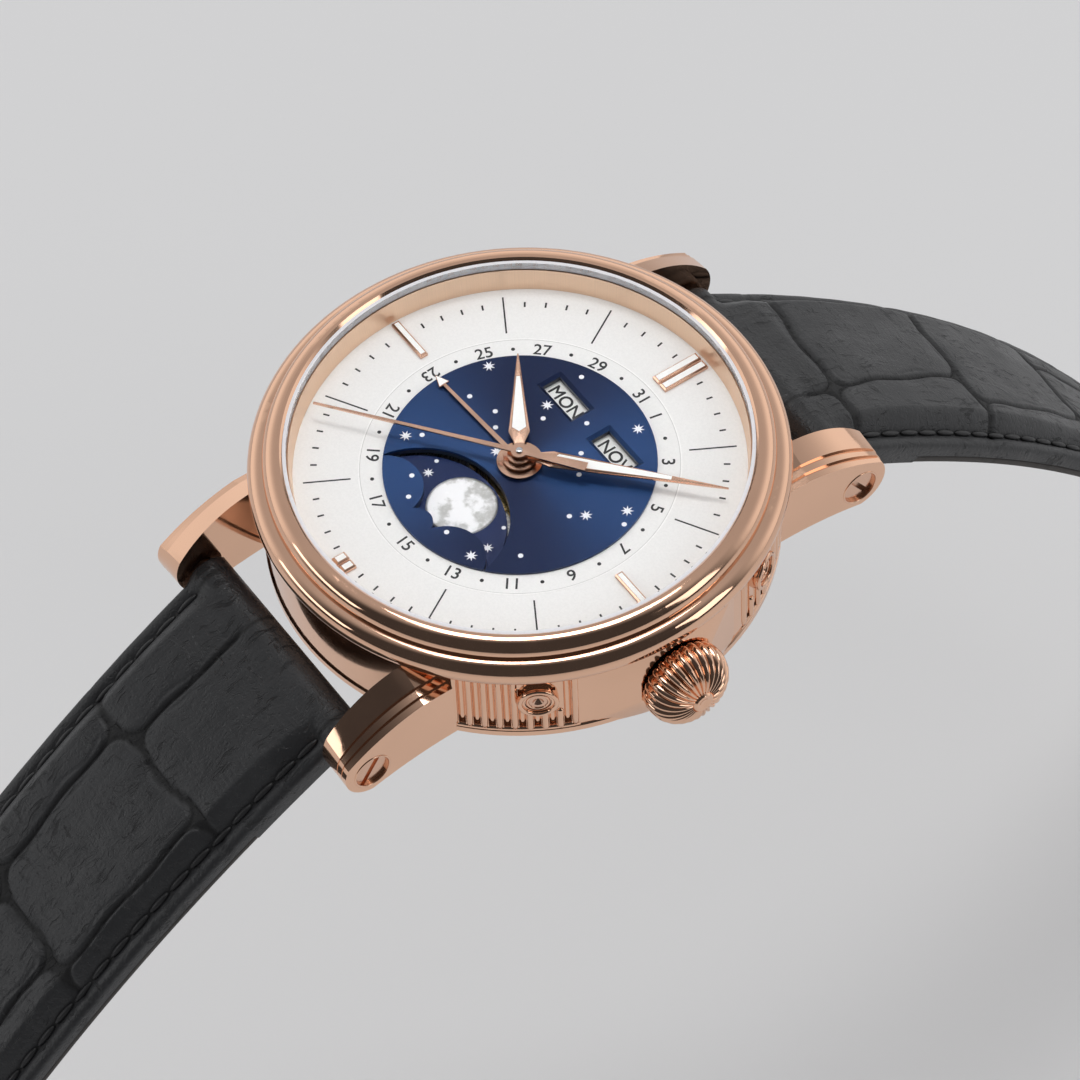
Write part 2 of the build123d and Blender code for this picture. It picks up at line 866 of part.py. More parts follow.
with BuildPart() as case_back_glass:
    with BuildSketch(Plane.XY.offset(back_glass_lip)):
        Circle(back_glass_radius)
    extrude(amount=back_glass_thickness)
write(case_back_glass.part, "case_back_glass")

with BuildPart() as case_back_gasket:
    with BuildSketch(Plane.XY.offset(case_bottom)):
        Circle(back_gasket_radius + back_gasket_width / 2)
        Circle(back_gasket_radius - back_gasket_width / 2, mode=Mode.SUBTRACT)
    extrude(amount=back_gasket_height)
write(case_back_gasket.part, "case_back_gasket")

with BuildPart() as case_back_screws:
    with BuildSketch(Plane.XY.offset(back_screw_slot_depth)):
        with PolarLocations(back_screw_circle, back_screw_count):
            Circle(back_screw_head_radius)
    extrude(amount=back_screw_head_height - back_screw_slot_depth)
    with BuildSketch(Plane.XY.offset(back_screw_head_height)):
        with PolarLocations(back_screw_circle, back_screw_count):
            Circle(back_screw_radius)
    extrude(amount=back_screw_length)
    with BuildSketch(Plane.XY.offset(back_screw_slot_depth)):
        with PolarLocations(back_screw_circle, back_screw_count):
            Rectangle(2 * back_screw_head_radius, back_screw_slot)
    extrude(amount=back_screw_slot_depth, mode=Mode.SUBTRACT)
write(case_back_screws.part, "case_back_screws")

# Lug bars between the lugs, and the slotted screws that hold them
with BuildPart() as lug_bars:
    for sy in (1, -1):
        bar_half = lug_gap_half - bar_end_play
        with BuildSketch(Plane.YZ.offset(-bar_half)):
            with Locations((sy * bar_y, bar_height)):
                Circle(bar_radius)
        extrude(amount=2 * bar_half)
        for sx in (1, -1):
            with BuildSketch(Plane.YZ.offset(sx * bar_half)):
                with Locations((sy * bar_y, bar_height)):
                    Circle(lug_screw_radius)
            extrude(amount=-sx * lug_screw_grip, mode=Mode.SUBTRACT)
write(lug_bars.part, "lug_bars")

with BuildPart() as lug_screws:
    for sx, sy in quarter_signs:
        seat = lug_outer - lug_screw_recess - lug_screw_head_depth
        with BuildSketch(Plane.YZ.offset(sx * seat)):
            with Locations((sy * bar_y, bar_height)):
                Circle(lug_screw_head_radius)
        extrude(amount=sx * lug_screw_head_depth)
        with BuildSketch(Plane.YZ.offset(sx * (lug_gap_half - bar_end_play - lug_screw_grip))):
            with Locations((sy * bar_y, bar_height)):
                Circle(lug_screw_radius)
        extrude(amount=sx * (seat - lug_gap_half + bar_end_play + lug_screw_grip))
        with BuildSketch(Plane.YZ.offset(sx * (seat + lug_screw_head_depth))):
            with Locations(Location((sy * bar_y, bar_height, 0), (0, 0, sy * short_strap_start))):
                Rectangle(lug_screw_slot, 2 * lug_screw_head_radius)
        extrude(amount=-sx * lug_screw_slot_depth, mode=Mode.SUBTRACT)
write(lug_screws.part, "lug_screws")

# Crown tube, gasket, winding stem and crown
with BuildPart() as crown_tube:
    with BuildSketch(Plane.YZ.offset(tube_inner_end)):
        with Locations((0, crown_axis_height)):
            Circle(tube_radius)
            Circle(tube_bore_radius, mode=Mode.SUBTRACT)
    extrude(amount=tube_outer_end - tube_inner_end)
write(crown_tube.part, "crown_tube")

crown_gasket_inner = crown_bore_radius - crown_gasket_width
with BuildPart() as crown_gasket:
    with BuildSketch(Plane.YZ.offset(crown_back + crown_gasket_place)):
        with Locations((0, crown_axis_height)):
            Circle(crown_bore_radius - running_play)
            Circle(crown_gasket_inner, mode=Mode.SUBTRACT)
    extrude(amount=crown_gasket_thickness)
write(crown_gasket.part, "crown_gasket")

crown_bore_end = crown_back + crown_bore_depth
with BuildPart() as winding_stem:
    with BuildSketch(Plane.YZ.offset(stem_inner_end)):
        with Locations((0, crown_axis_height)):
            Circle(stem_radius)
    extrude(amount=crown_bore_end + stem_grip - stem_inner_end)
    with BuildSketch(Plane(origin=(stem_wheel_place, 0, crown_axis_height), z_dir=(1, 0, 0))):
        with BuildLine():
            Polyline(*gear_points(stem_wheel_teeth, stem_wheel_radius, 0), close=True)
        make_face()
    extrude(amount=stem_wheel_width)
write(winding_stem.part, "winding_stem")

crown_axis = Axis((0, 0, crown_axis_height), (1, 0, 0))


def crown_point(place, radius):
    return (crown_back + place, crown_axis_height + radius)


def crest_middle(crest, end):
    """Middle point of the arc that leaves a level crest and falls to an end point."""
    run = end[0] - crest[0]
    fall = crest[1] - end[1]
    radius = (run ** 2 + fall ** 2) / (2 * fall)
    half_turn = atan2(fall, abs(run))
    return (crest[0] + copysign(radius * sin(half_turn), run),
            crest[1] - radius * (1 - cos(half_turn)))


def crown_profile(lift, overhang):
    """Outline of the crown's rounded body, lifted, and run out behind its back."""
    back = crown_point(-overhang, crown_neck_radius + lift - overhang)
    widest = crown_point(crown_body_place, crown_body_radius + lift)
    front = crown_point(crown_length, crown_cap_radius + lift)
    ThreePointArc(back, crest_middle(widest, back), widest)
    ThreePointArc(widest, crest_middle(widest, front), front)


flute_lift = crown_flute_radius - crown_flute_sink
with BuildPart() as crown_flute:
    with BuildLine(Plane.XZ) as flute_path:
        crown_profile(flute_lift, crown_flute_radius)
    with BuildSketch(Plane(origin=flute_path.line @ 0, z_dir=flute_path.line % 0)):
        Circle(crown_flute_radius)
    sweep(path=flute_path.line)

with BuildPart() as crown:
    with BuildSketch(Plane.XZ):
        with BuildLine():
            Polyline(crown_point(0, 0), crown_point(0, crown_neck_radius))
            crown_profile(0, 0)
            Polyline(crown_point(crown_length, crown_cap_radius),
                     crown_point(crown_length + crown_cap_height, crown_cap_radius),
                     crown_point(crown_length + crown_cap_height, crown_cap_dimple_radius),
                     crown_point(crown_length, 0), crown_point(0, 0))
        make_face()
    revolve(axis=crown_axis)
    add([crown_flute.part.rotate(crown_axis, k * 360 / crown_flute_count)
         for k in range(crown_flute_count)], mode=Mode.SUBTRACT)
    with BuildSketch(Plane.YZ.offset(crown_back)):
        with Locations((0, crown_axis_height)):
            Circle(crown_bore_radius)
    extrude(amount=crown_bore_depth, mode=Mode.SUBTRACT)
    with BuildSketch(Plane.YZ.offset(crown_bore_end)):
        with Locations((0, crown_axis_height)):
            Circle(stem_radius)
    extrude(amount=stem_grip, mode=Mode.SUBTRACT)
write(crown.part, "crown")


# Correctors: pushers with a ring groove and a dimple for a stylus
def corrector(sx, sy):
    with BuildPart() as pusher:
        with BuildSketch(rosette_plane(sx, sy, corrector_face - corrector_head_length)):
            Circle(corrector_radius)
        extrude(amount=corrector_head_length)
        with BuildSketch(rosette_plane(sx, sy, corrector_face)):
            Circle(corrector_ring_radius + corrector_ring_width)
            Circle(corrector_ring_radius, mode=Mode.SUBTRACT)
        extrude(amount=-corrector_ring_depth, mode=Mode.SUBTRACT)
        with Locations(rosette_plane(sx, sy, corrector_face - corrector_dimple)):
            Cone(0, corrector_dimple, corrector_dimple,
                 align=(Align.CENTER, Align.CENTER, Align.MIN), mode=Mode.SUBTRACT)
        with BuildSketch(rosette_plane(sx, sy, corrector_face - corrector_head_length)):
            Circle(corrector_stem_radius)
        extrude(amount=-corrector_stem_length)
    return pusher.part


for corrector_name, (corrector_sx, corrector_sy) in zip(
        ("corrector_2h", "corrector_10h", "corrector_8h", "corrector_4h"), quarter_signs):
    write(corrector(corrector_sx, corrector_sy), corrector_name)

# Movement ring that carries the movement in the case
with BuildPart() as movement_ring:
    with BuildSketch(Plane.XY.offset(ring_bottom)):
        Circle(ring_radius)
        Circle(movement_radius + ring_fit, mode=Mode.SUBTRACT)
    extrude(amount=calendar_bottom - ring_bottom)
    with BuildSketch(Plane.YZ):
        with Locations((0, crown_axis_height)):
            Circle(stem_radius + stem_hole_play)
    extrude(amount=cavity_radius, mode=Mode.SUBTRACT)
write(movement_ring.part, "movement_ring")

# Main plate with the train pocket on the back side
pivot_hole_radius = pivot_radius + pivot_play
with BuildPart() as main_plate:
    with BuildSketch(Plane.XY.offset(train_floor)):
        Circle(movement_radius)
    extrude(amount=plate_top - train_floor)
    with BuildSketch(Plane.XY.offset(train_floor)):
        Circle(movement_radius - plate_rim_width)
    extrude(amount=train_space, mode=Mode.SUBTRACT)
    with BuildSketch(Plane.XY.offset(plate_bottom)):
        with Locations(second_at, escape_at, pallet_at, balance_at, barrel_at):
            Circle(pivot_hole_radius)
    extrude(amount=pivot_depth + pivot_play, mode=Mode.SUBTRACT)
    with BuildSketch(Plane.XY.offset(plate_bottom)):
        with Locations(third_at):
            Circle(third_arbor_radius + pivot_play)
        with Locations(origin_at):
            Circle(seconds_arbor_radius + pivot_play)
    extrude(amount=plate_thickness, mode=Mode.SUBTRACT)
    with BuildSketch(Plane.XY.offset(plate_top - pivot_depth - pivot_play)):
        with Locations(minute_wheel_at):
            Circle(pivot_hole_radius)
    extrude(amount=pivot_depth + pivot_play, mode=Mode.SUBTRACT)
    # the stem runs in a channel that opens to the back
    with BuildSketch(Plane.XY.offset(train_floor)):
        with Locations(((stem_inner_end + movement_radius) / 2 + cut_over / 2, 0)):
            Rectangle(movement_radius - stem_inner_end + 2 * cut_over + crown_pull_travel / 2,
                      2 * (stem_radius + stem_hole_play))
    extrude(amount=crown_axis_height + stem_radius + stem_hole_play - train_floor,
            mode=Mode.SUBTRACT)
    with BuildSketch(Plane.XY.offset(train_floor)):
        with Locations((stem_wheel_place + (stem_wheel_width + crown_pull_travel) / 2, 0)):
            Rectangle(stem_wheel_width + crown_pull_travel + 2 * stem_hole_play,
                      2 * (stem_wheel_radius + 2 * stem_hole_play))
    extrude(amount=crown_axis_height + stem_wheel_radius + 2 * stem_hole_play - train_floor,
            mode=Mode.SUBTRACT)
    with BuildSketch(Plane.XY.offset(train_floor)):
        for screw_angle in train_screw_angles + barrel_screw_angles + cock_screw_angles:
            with Locations(polar(movement_screw_circle, screw_angle)):
                Circle(movement_screw_radius)
    extrude(amount=movement_screw_length, mode=Mode.SUBTRACT)
write(main_plate.part, "main_plate")


def screw_cuts(angles):
    """Holes and counterbores of the movement screws in the bridge being built."""
    for radius, depth in ((movement_screw_radius, bridge_thickness),
                          (movement_screw_head_radius, movement_screw_head_height)):
        with BuildSketch(Plane.XY.offset(bridge_bottom)) as holes:
            for angle in angles:
                with Locations(polar(movement_screw_circle, angle)):
                    Circle(radius)
        extrude(holes.sketch, amount=depth, mode=Mode.SUBTRACT)


def jewel_cuts(places):
    """Seats of the jewels in the bridge being built, and the holes behind them."""
    for radius, depth in ((jewel_radius, jewel_thickness), (pivot_hole_radius, bridge_thickness)):
        with BuildSketch(Plane.XY.offset(bridge_bottom)) as seats:
            with Locations(*places):
                Circle(radius)
        extrude(seats.sketch, amount=depth, mode=Mode.SUBTRACT)


with BuildPart() as barrel_bridge:
    with BuildSketch(Plane.XY.offset(bridge_bottom)):
        Circle(movement_radius)
        with Locations((barrel_bridge_edge - bridge_slit / 2, barrel_bridge_low)):
            Rectangle(movement_radius, 2 * movement_radius, align=(Align.MAX, Align.MIN),
                      mode=Mode.INTERSECT)
    extrude(amount=bridge_thickness)
    screw_cuts(barrel_screw_angles)
    jewel_cuts((second_at, barrel_at))
write(barrel_bridge.part, "barrel_bridge")

with BuildPart() as train_bridge:
    with BuildSketch(Plane.XY.offset(bridge_bottom)):
        Circle(movement_radius)
        with Locations((barrel_bridge_edge + bridge_slit / 2, barrel_bridge_low)):
            Rectangle(2 * movement_radius, 2 * movement_radius, align=(Align.MIN, Align.MIN),
                      mode=Mode.INTERSECT)
        with Locations(balance_at):
            Circle(balance_window_radius, mode=Mode.SUBTRACT)
        with Locations(Location((balance_at[0], balance_at[1], 0), (0, 0, balance_angle))):
            Rectangle(2 * movement_radius, 2 * balance_window_radius,
                      align=(Align.MIN, Align.CENTER), mode=Mode.SUBTRACT)
    extrude(amount=bridge_thickness)
    screw_cuts(train_screw_angles)
    jewel_cuts((origin_at, third_at, escape_at))
write(train_bridge.part, "train_bridge")

with BuildPart() as balance_cock:
    with BuildSketch(Plane.XY.offset(bridge_bottom)):
        with Locations(Location((balance_at[0], balance_at[1], 0), (0, 0, balance_angle))):
            Rectangle(movement_radius, cock_width, align=(Align.MIN, Align.CENTER))
        with Locations(balance_at):
            Circle(cock_boss_radius)
        Circle(movement_radius, mode=Mode.INTERSECT)
    extrude(amount=bridge_thickness)
    screw_cuts(cock_screw_angles)
    jewel_cuts((balance_at,))
write(balance_cock.part, "balance_cock")

with BuildPart() as movement_screws:
    all_angles = train_screw_angles + barrel_screw_angles + cock_screw_angles
    for angle in all_angles:
        at = polar(movement_screw_circle, angle)
        with BuildSketch(Plane.XY.offset(bridge_bottom)):
            with Locations(at):
                Circle(movement_screw_head_radius)
        extrude(amount=movement_screw_head_height)
        with BuildSketch(Plane.XY.offset(bridge_bottom + movement_screw_head_height)):
            with Locations(at):
                Circle(movement_screw_radius)
        extrude(amount=bridge_thickness - movement_screw_head_height + movement_screw_length)
        with BuildSketch(Plane.XY.offset(bridge_bottom)):
            with Locations(Location((at[0], at[1], 0), (0, 0, angle))):
                Rectangle(2 * movement_screw_head_radius, movement_screw_slot)
        extrude(amount=movement_screw_slot, mode=Mode.SUBTRACT)
write(movement_screws.part, "movement_screws")

with BuildPart() as jewels:
    with BuildSketch(Plane.XY.offset(bridge_bottom)):
        with Locations(origin_at, third_at, second_at, escape_at, barrel_at, balance_at):
            Circle(jewel_radius)
            Circle(pivot_hole_radius, mode=Mode.SUBTRACT)
    extrude(amount=jewel_thickness)
write(jewels.part, "jewels")

# Calendar plate over the motion work
disc_axes = ((day_axis_x, day_axis_y), (month_axis_x, month_axis_y), (moon_axis_x, moon_axis_y))
with BuildPart() as calendar_plate:
    with BuildSketch(Plane.XY.offset(calendar_bottom)):
        Circle(ring_radius)
        Circle(hour_pipe_radius + running_play, mode=Mode.SUBTRACT)
        with Locations(*disc_axes):
            Circle(disc_arbor_radius + disc_arbor_bore_play, mode=Mode.SUBTRACT)
        with Locations(minute_wheel_at):
            Circle(pivot_hole_radius, mode=Mode.SUBTRACT)
    extrude(amount=calendar_thickness)
write(calendar_plate.part, "calendar_plate")


# Openings of the dial: two windows and the moon opening
def hump_face():
    """The lower edge of the moon opening: two humps and a small one between them."""
    with Locations((hump_x, hump_y), (-hump_x, hump_y)):
        Circle(hump_radius)
    with Locations((0, middle_hump_y)):
        Circle(middle_hump_radius)
    with Locations((0, hump_base_y)):
        Rectangle(2 * centre_disc_radius, centre_disc_radius, align=(Align.CENTER, Align.MAX))


with BuildPart() as dial_plate:
    with BuildSketch(Plane.XY.offset(dial_bottom)):
        Circle(dial_radius)
        Circle(dial_hole_radius, mode=Mode.SUBTRACT)
        with Locations((day_window_x, window_y), (month_window_x, window_y)):
            Rectangle(window_width, window_height, mode=Mode.SUBTRACT)
    extrude(amount=dial_thickness)
    with BuildSketch(Plane.XY.offset(dial_bottom)) as moon_opening:
        with Locations((0, moon_arc_y)):
            Circle(moon_arc_radius)
        Circle(centre_disc_radius - centre_disc_support, mode=Mode.INTERSECT)
        with Locations((hump_x, hump_y), (-hump_x, hump_y)):
            Circle(hump_radius, mode=Mode.SUBTRACT)
        with Locations((0, middle_hump_y)):
            Circle(middle_hump_radius, mode=Mode.SUBTRACT)
        with Locations((0, hump_base_y)):
            Rectangle(2 * centre_disc_radius, centre_disc_radius,
                      align=(Align.CENTER, Align.MAX), mode=Mode.SUBTRACT)
    extrude(amount=dial_thickness, mode=Mode.SUBTRACT)
    with BuildSketch(Plane.XY.offset(calendar_top)):
        with Locations(polar(dial_foot_circle, -dial_foot_angle),
                       polar(dial_foot_circle, dial_foot_angle - 180)):
            Circle(dial_foot_radius)
    extrude(amount=dial_bottom - calendar_top)
write(dial_plate.part, "dial_plate")

window_bevel_angle = degrees(atan2(window_bevel, centre_disc_thickness))
with BuildPart() as centre_disc:
    with BuildSketch(Plane.XY.offset(dial_top)):
        Circle(centre_disc_radius)
        Circle(dial_hole_radius, mode=Mode.SUBTRACT)
        with Locations((0, moon_arc_y)):
            Circle(moon_arc_radius, mode=Mode.SUBTRACT)
    extrude(amount=centre_disc_thickness)
    with BuildSketch(Plane.XY.offset(dial_top + centre_disc_thickness)):
        with Locations((day_window_x, window_y), (month_window_x, window_y)):
            Rectangle(window_width + 2 * window_bevel, window_height + 2 * window_bevel)
    extrude(amount=-centre_disc_thickness, taper=window_bevel_angle, mode=Mode.SUBTRACT)
    with BuildSketch(Plane.XY.offset(dial_top)):
        hump_face()
        Circle(centre_disc_radius, mode=Mode.INTERSECT)
    extrude(amount=centre_disc_thickness)
write(centre_disc.part, "centre_disc")

# Applied hour markers
pair_offset = (marker_pair_width + marker_pair_gap) / 2
marker_list = (
    (0, pair_offset, marker_pair_width, marker_inner, marker_outer),
    (0, -pair_offset, marker_pair_width, marker_inner, marker_outer),
    (90, 0, marker_width, marker_inner, marker_outer),
    (180, pair_offset, marker_pair_width, short_marker_inner, short_marker_outer),
    (180, -pair_offset, marker_pair_width, short_marker_inner, short_marker_outer),
    (270, 0, marker_width, marker_inner, marker_outer),
)
with BuildPart() as hour_markers:
    for angle, offset_across, width, inner, outer in marker_list:
        middle = clock((inner + outer) / 2, angle)
        across = clock(offset_across, angle + 90)
        with BuildSketch(Plane.XY.offset(dial_top)):
            with Locations(Location((middle[0] + across[0], middle[1] + across[1], 0),
                                    (0, 0, -angle))):
                Rectangle(width, outer - inner)
        extrude(amount=marker_height)
    chamfer(hour_markers.faces().sort_by(Axis.Z)[-len(marker_list):].edges(), length=marker_chamfer)
write(hour_markers.part, "hour_markers")


# Wheels of the going train
def spoked(pitch_radius, teeth, spokes):
    """Cut the windows between the spokes of the wheel being built."""
    inner = wheel_hub_radius
    outer = root_radius(teeth, pitch_radius) - wheel_rim_width
    Circle(outer, mode=Mode.SUBTRACT)
    Circle(inner)
    with PolarLocations(0, spokes):
        Rectangle(outer + wheel_rim_width / 2, wheel_spoke_width, align=(Align.MIN, Align.CENTER))


def wheel_part(at, wheel, pinion, wheel_level, pinion_level, low_pivot, top_radius, top_end,
               extra=None):
    """A wheel and a pinion on one arbor. wheel and pinion are (teeth, radius, turn)."""
    with BuildPart() as body:
        with BuildSketch(Plane(origin=(at[0], at[1], wheel_level), z_dir=(0, 0, 1))):
            with BuildLine():
                Polyline(*gear_points(*wheel), close=True)
            make_face()
            spoked(wheel[1], wheel[0], wheel_spokes)
        extrude(amount=wheel_thickness)
        with BuildSketch(Plane(origin=(at[0], at[1], pinion_level - pinion_overrun),
                               z_dir=(0, 0, 1))):
            with BuildLine():
                Polyline(*gear_points(*pinion), close=True)
            make_face()
        extrude(amount=wheel_thickness + 2 * pinion_overrun)
        low = min(wheel_level, pinion_level - pinion_overrun)
        high = max(wheel_level + wheel_thickness,
                   pinion_level + wheel_thickness + pinion_overrun)
        with BuildSketch(Plane(origin=(at[0], at[1], low), z_dir=(0, 0, 1))):
            Circle(arbor_radius)
        extrude(amount=high - low)
        with BuildSketch(Plane(origin=(at[0], at[1], low_pivot), z_dir=(0, 0, 1))):
            Circle(pivot_radius)
        extrude(amount=low - low_pivot)
        with BuildSketch(Plane(origin=(at[0], at[1], high), z_dir=(0, 0, 1))):
            Circle(top_radius)
        extrude(amount=top_end - high)
        if extra is not None:
            extra_level, extra_gear = extra
            with BuildSketch(Plane(origin=(at[0], at[1], extra_level), z_dir=(0, 0, 1))):
                with BuildLine():
                    Polyline(*gear_points(*extra_gear), close=True)
                make_face()
            extrude(amount=wheel_thickness)
    return body.part


low_pivot = bridge_bottom + pivot_play
top_pivot = plate_bottom + pivot_depth
drive_level = plate_top + motion_base
barrel_to_second = direction(barrel_at, second_at)
second_to_third = direction(second_at, third_at)
third_to_fourth = direction(third_at, origin_at)
fourth_to_escape = direction(origin_at, escape_at)

with BuildPart() as barrel:
    with BuildSketch(Plane(origin=(barrel_at[0], barrel_at[1], level_a), z_dir=(0, 0, 1))):
        Circle(barrel_drum_radius)
    extrude(amount=level_b - level_a)
    with BuildSketch(Plane(origin=(barrel_at[0], barrel_at[1], level_b), z_dir=(0, 0, 1))):
        with BuildLine():
            Polyline(*gear_points(barrel_teeth, barrel_pitch_radius, barrel_to_second), close=True)
        make_face()
    extrude(amount=wheel_thickness)
    with BuildSketch(Plane(origin=(barrel_at[0], barrel_at[1], low_pivot), z_dir=(0, 0, 1))):
        Circle(pivot_radius)
    extrude(amount=top_pivot - low_pivot)
write(barrel.part, "barrel")

write(wheel_part(second_at,
                 (second_wheel_teeth, second_wheel_pitch_radius, second_to_third),
                 (second_pinion_teeth, second_pinion_radius,
                  facing_turn(barrel_to_second + pi, second_pinion_teeth)),
                 level_c, level_b, low_pivot, pivot_radius, top_pivot), "second_wheel")

write(wheel_part(third_at,
                 (third_wheel_teeth, third_wheel_pitch_radius, third_to_fourth),
                 (third_pinion_teeth, third_pinion_radius,
                  facing_turn(second_to_third + pi, third_pinion_teeth)),
                 level_a, level_c, low_pivot, third_arbor_radius, drive_level + wheel_thickness,
                 (drive_level, (drive_pinion_teeth, drive_pinion_radius, third_to_fourth))),
      "third_wheel")

seconds_hand_bottom = dial_top + seconds_hand_height
write(wheel_part(origin_at,
                 (fourth_wheel_teeth, fourth_wheel_pitch_radius, fourth_to_escape),
                 (fourth_pinion_teeth, fourth_pinion_radius,
                  facing_turn(third_to_fourth + pi, fourth_pinion_teeth)),
                 level_b, level_a, low_pivot, seconds_arbor_radius, seconds_hand_bottom),
      "fourth_wheel")

escape_to_balance = direction(escape_at, balance_at)
with BuildPart() as escape_wheel:
    with BuildSketch(Plane(origin=(escape_at[0], escape_at[1], level_c), z_dir=(0, 0, 1))):
        escape_points = []
        for k in range(escape_teeth):
            tooth_angle = (k + half_share) * 2 * pi / escape_teeth + escape_to_balance
            lean = 2 * pi / escape_teeth
            for radius, share in ((escape_root_radius, -tooth_root_share),
                                  (escape_radius, tooth_tip_share),
                                  (escape_radius, tooth_root_share),
                                  (escape_root_radius, tooth_root_share)):
                escape_points.append((radius * cos(tooth_angle + share * lean),
                                      radius * sin(tooth_angle + share * lean)))
        with BuildLine():
            Polyline(*escape_points, close=True)
        make_face()
        Circle(escape_root_radius - wheel_rim_width, mode=Mode.SUBTRACT)
        Circle(wheel_hub_radius)
        with PolarLocations(0, wheel_spokes):
            Rectangle(escape_root_radius - wheel_rim_width / 2, wheel_spoke_width,
                      align=(Align.MIN, Align.CENTER))
    extrude(amount=wheel_thickness)
    with BuildSketch(Plane(origin=(escape_at[0], escape_at[1], level_b - pinion_overrun),
                           z_dir=(0, 0, 1))):
        with BuildLine():
            Polyline(*gear_points(escape_pinion_teeth, escape_pinion_radius,
                                  facing_turn(fourth_to_escape + pi, escape_pinion_teeth)),
                     close=True)
        make_face()
    extrude(amount=wheel_thickness + 2 * pinion_overrun)
    with BuildSketch(Plane(origin=(escape_at[0], escape_at[1], level_b), z_dir=(0, 0, 1))):
        Circle(arbor_radius)
    extrude(amount=level_c - level_b)
    with BuildSketch(Plane(origin=(escape_at[0], escape_at[1], low_pivot), z_dir=(0, 0, 1))):
        Circle(pivot_radius)
    extrude(amount=top_pivot - low_pivot)
write(escape_wheel.part, "escape_wheel")

# Pallet fork between the escape wheel and the balance
pallet_plane = Plane(origin=(pallet_at[0], pallet_at[1], level_c),
                     x_dir=(cos(escape_to_balance), sin(escape_to_balance), 0), z_dir=(0, 0, 1))
pallet_gap = hypot(pallet_at[0] - escape_at[0], pallet_at[1] - escape_at[1])
fork_reach = hypot(balance_at[0] - pallet_at[0], balance_at[1] - pallet_at[1])
stone_tip = sqrt((escape_radius + pallet_play)**2 - pallet_arm_half**2) - pallet_gap
with BuildPart() as pallet_fork:
    with BuildSketch(pallet_plane):
        Rectangle(pallet_arm_width, 2 * pallet_arm_half)
        for side in (1, -1):
            with Locations((stone_tip + pallet_stone_length, side * pallet_arm_half)):
                Rectangle(abs(stone_tip) - pallet_stone_length + pallet_arm_width / 2,
                          pallet_arm_width, align=(Align.MIN, Align.CENTER))
        Rectangle(fork_reach - balance_roller_radius - pallet_play, pallet_arm_width,
                  align=(Align.MIN, Align.CENTER))
        Circle(arbor_radius)
    extrude(amount=wheel_thickness)
    with BuildSketch(pallet_plane):
        Circle(pivot_radius)
    extrude(amount=top_pivot - level_c)
write(pallet_fork.part, "pallet_fork")

# Balance wheel with three arms, and its spiral spring
with BuildPart() as balance_wheel:
    with BuildSketch(Plane(origin=(balance_at[0], balance_at[1], level_b), z_dir=(0, 0, 1))):
        Circle(balance_radius)
        Circle(balance_radius - balance_rim_width, mode=Mode.SUBTRACT)
        with PolarLocations(0, 3):
            Rectangle(balance_radius - balance_rim_width / 2, wheel_spoke_width,
                      align=(Align.MIN, Align.CENTER))
        Circle(arbor_radius)
    extrude(amount=wheel_thickness)
    with BuildSketch(Plane(origin=(balance_at[0], balance_at[1], level_b), z_dir=(0, 0, 1))):
        Circle(balance_roller_radius)
    extrude(amount=level_c + wheel_thickness - level_b)
    with BuildSketch(Plane(origin=(balance_at[0], balance_at[1], low_pivot), z_dir=(0, 0, 1))):
        Circle(pivot_radius)
    extrude(amount=top_pivot - low_pivot)
write(balance_wheel.part, "balance_wheel")

spring_points_out = []
spring_points_in = []
spring_steps = 24 * spring_turns
for k in range(spring_steps + 1):
    spring_share = k / spring_steps
    spring_angle = 2 * pi * spring_turns * spring_share
    spring_mid = spring_inner_radius + (spring_outer_radius - spring_inner_radius) * spring_share
    spring_points_out.append(((spring_mid + spring_width / 2) * cos(spring_angle),
                              (spring_mid + spring_width / 2) * sin(spring_angle)))
    spring_points_in.append(((spring_mid - spring_width / 2) * cos(spring_angle),
                             (spring_mid - spring_width / 2) * sin(spring_angle)))
with BuildPart() as balance_spring:
    with BuildSketch(Plane(origin=(balance_at[0], balance_at[1], level_a), z_dir=(0, 0, 1))):
        with BuildLine():
            Polyline(*(spring_points_out + spring_points_in[::-1]), close=True)
        make_face()
        with Locations((spring_outer_radius, 0)):
            Circle(pivot_radius)
    extrude(amount=spring_height)
write(balance_spring.part, "balance_spring")

# Rotor and its bearing
with BuildPart() as rotor:
    with BuildSketch(Plane.XY.offset(rotor_bottom)):
        Circle(rotor_radius)
        Circle(rotor_radius - rotor_rim_width, mode=Mode.SUBTRACT)
        Rectangle(2 * movement_radius, movement_radius, align=(Align.CENTER, Align.MAX),
                  mode=Mode.INTERSECT)
    extrude(amount=rotor_rim_thickness)
    with BuildSketch(Plane.XY.offset(rotor_bottom)):
        with Locations(*[Location((0, 0, 0), (0, 0, a)) for a in (-150, -90, -30)]):
            Rectangle(rotor_radius - rotor_rim_width / 2, rotor_arm_width / 2,
                      align=(Align.MIN, Align.CENTER))
        Circle(rotor_hub_radius)
    extrude(amount=rotor_web_thickness)
    with BuildSketch(Plane.XY.offset(rotor_bottom)):
        Circle(bearing_radius + running_play)
    extrude(amount=rotor_web_thickness, mode=Mode.SUBTRACT)
write(rotor.part, "rotor")

with BuildPart() as rotor_bearing:
    with BuildSketch(Plane.XY.offset(rotor_bottom)):
        Circle(bearing_radius)
    extrude(amount=bridge_bottom - rotor_bottom)
    with BuildSketch(Plane.XY.offset(rotor_bottom - pivot_play)):
        Circle(bearing_flange_radius)
    extrude(amount=-(bearing_flange_thickness))
    with BuildSketch(Plane.XY.offset(rotor_bottom - pivot_play)):
        Circle(bearing_radius)
    extrude(amount=pivot_play)
write(rotor_bearing.part, "rotor_bearing")

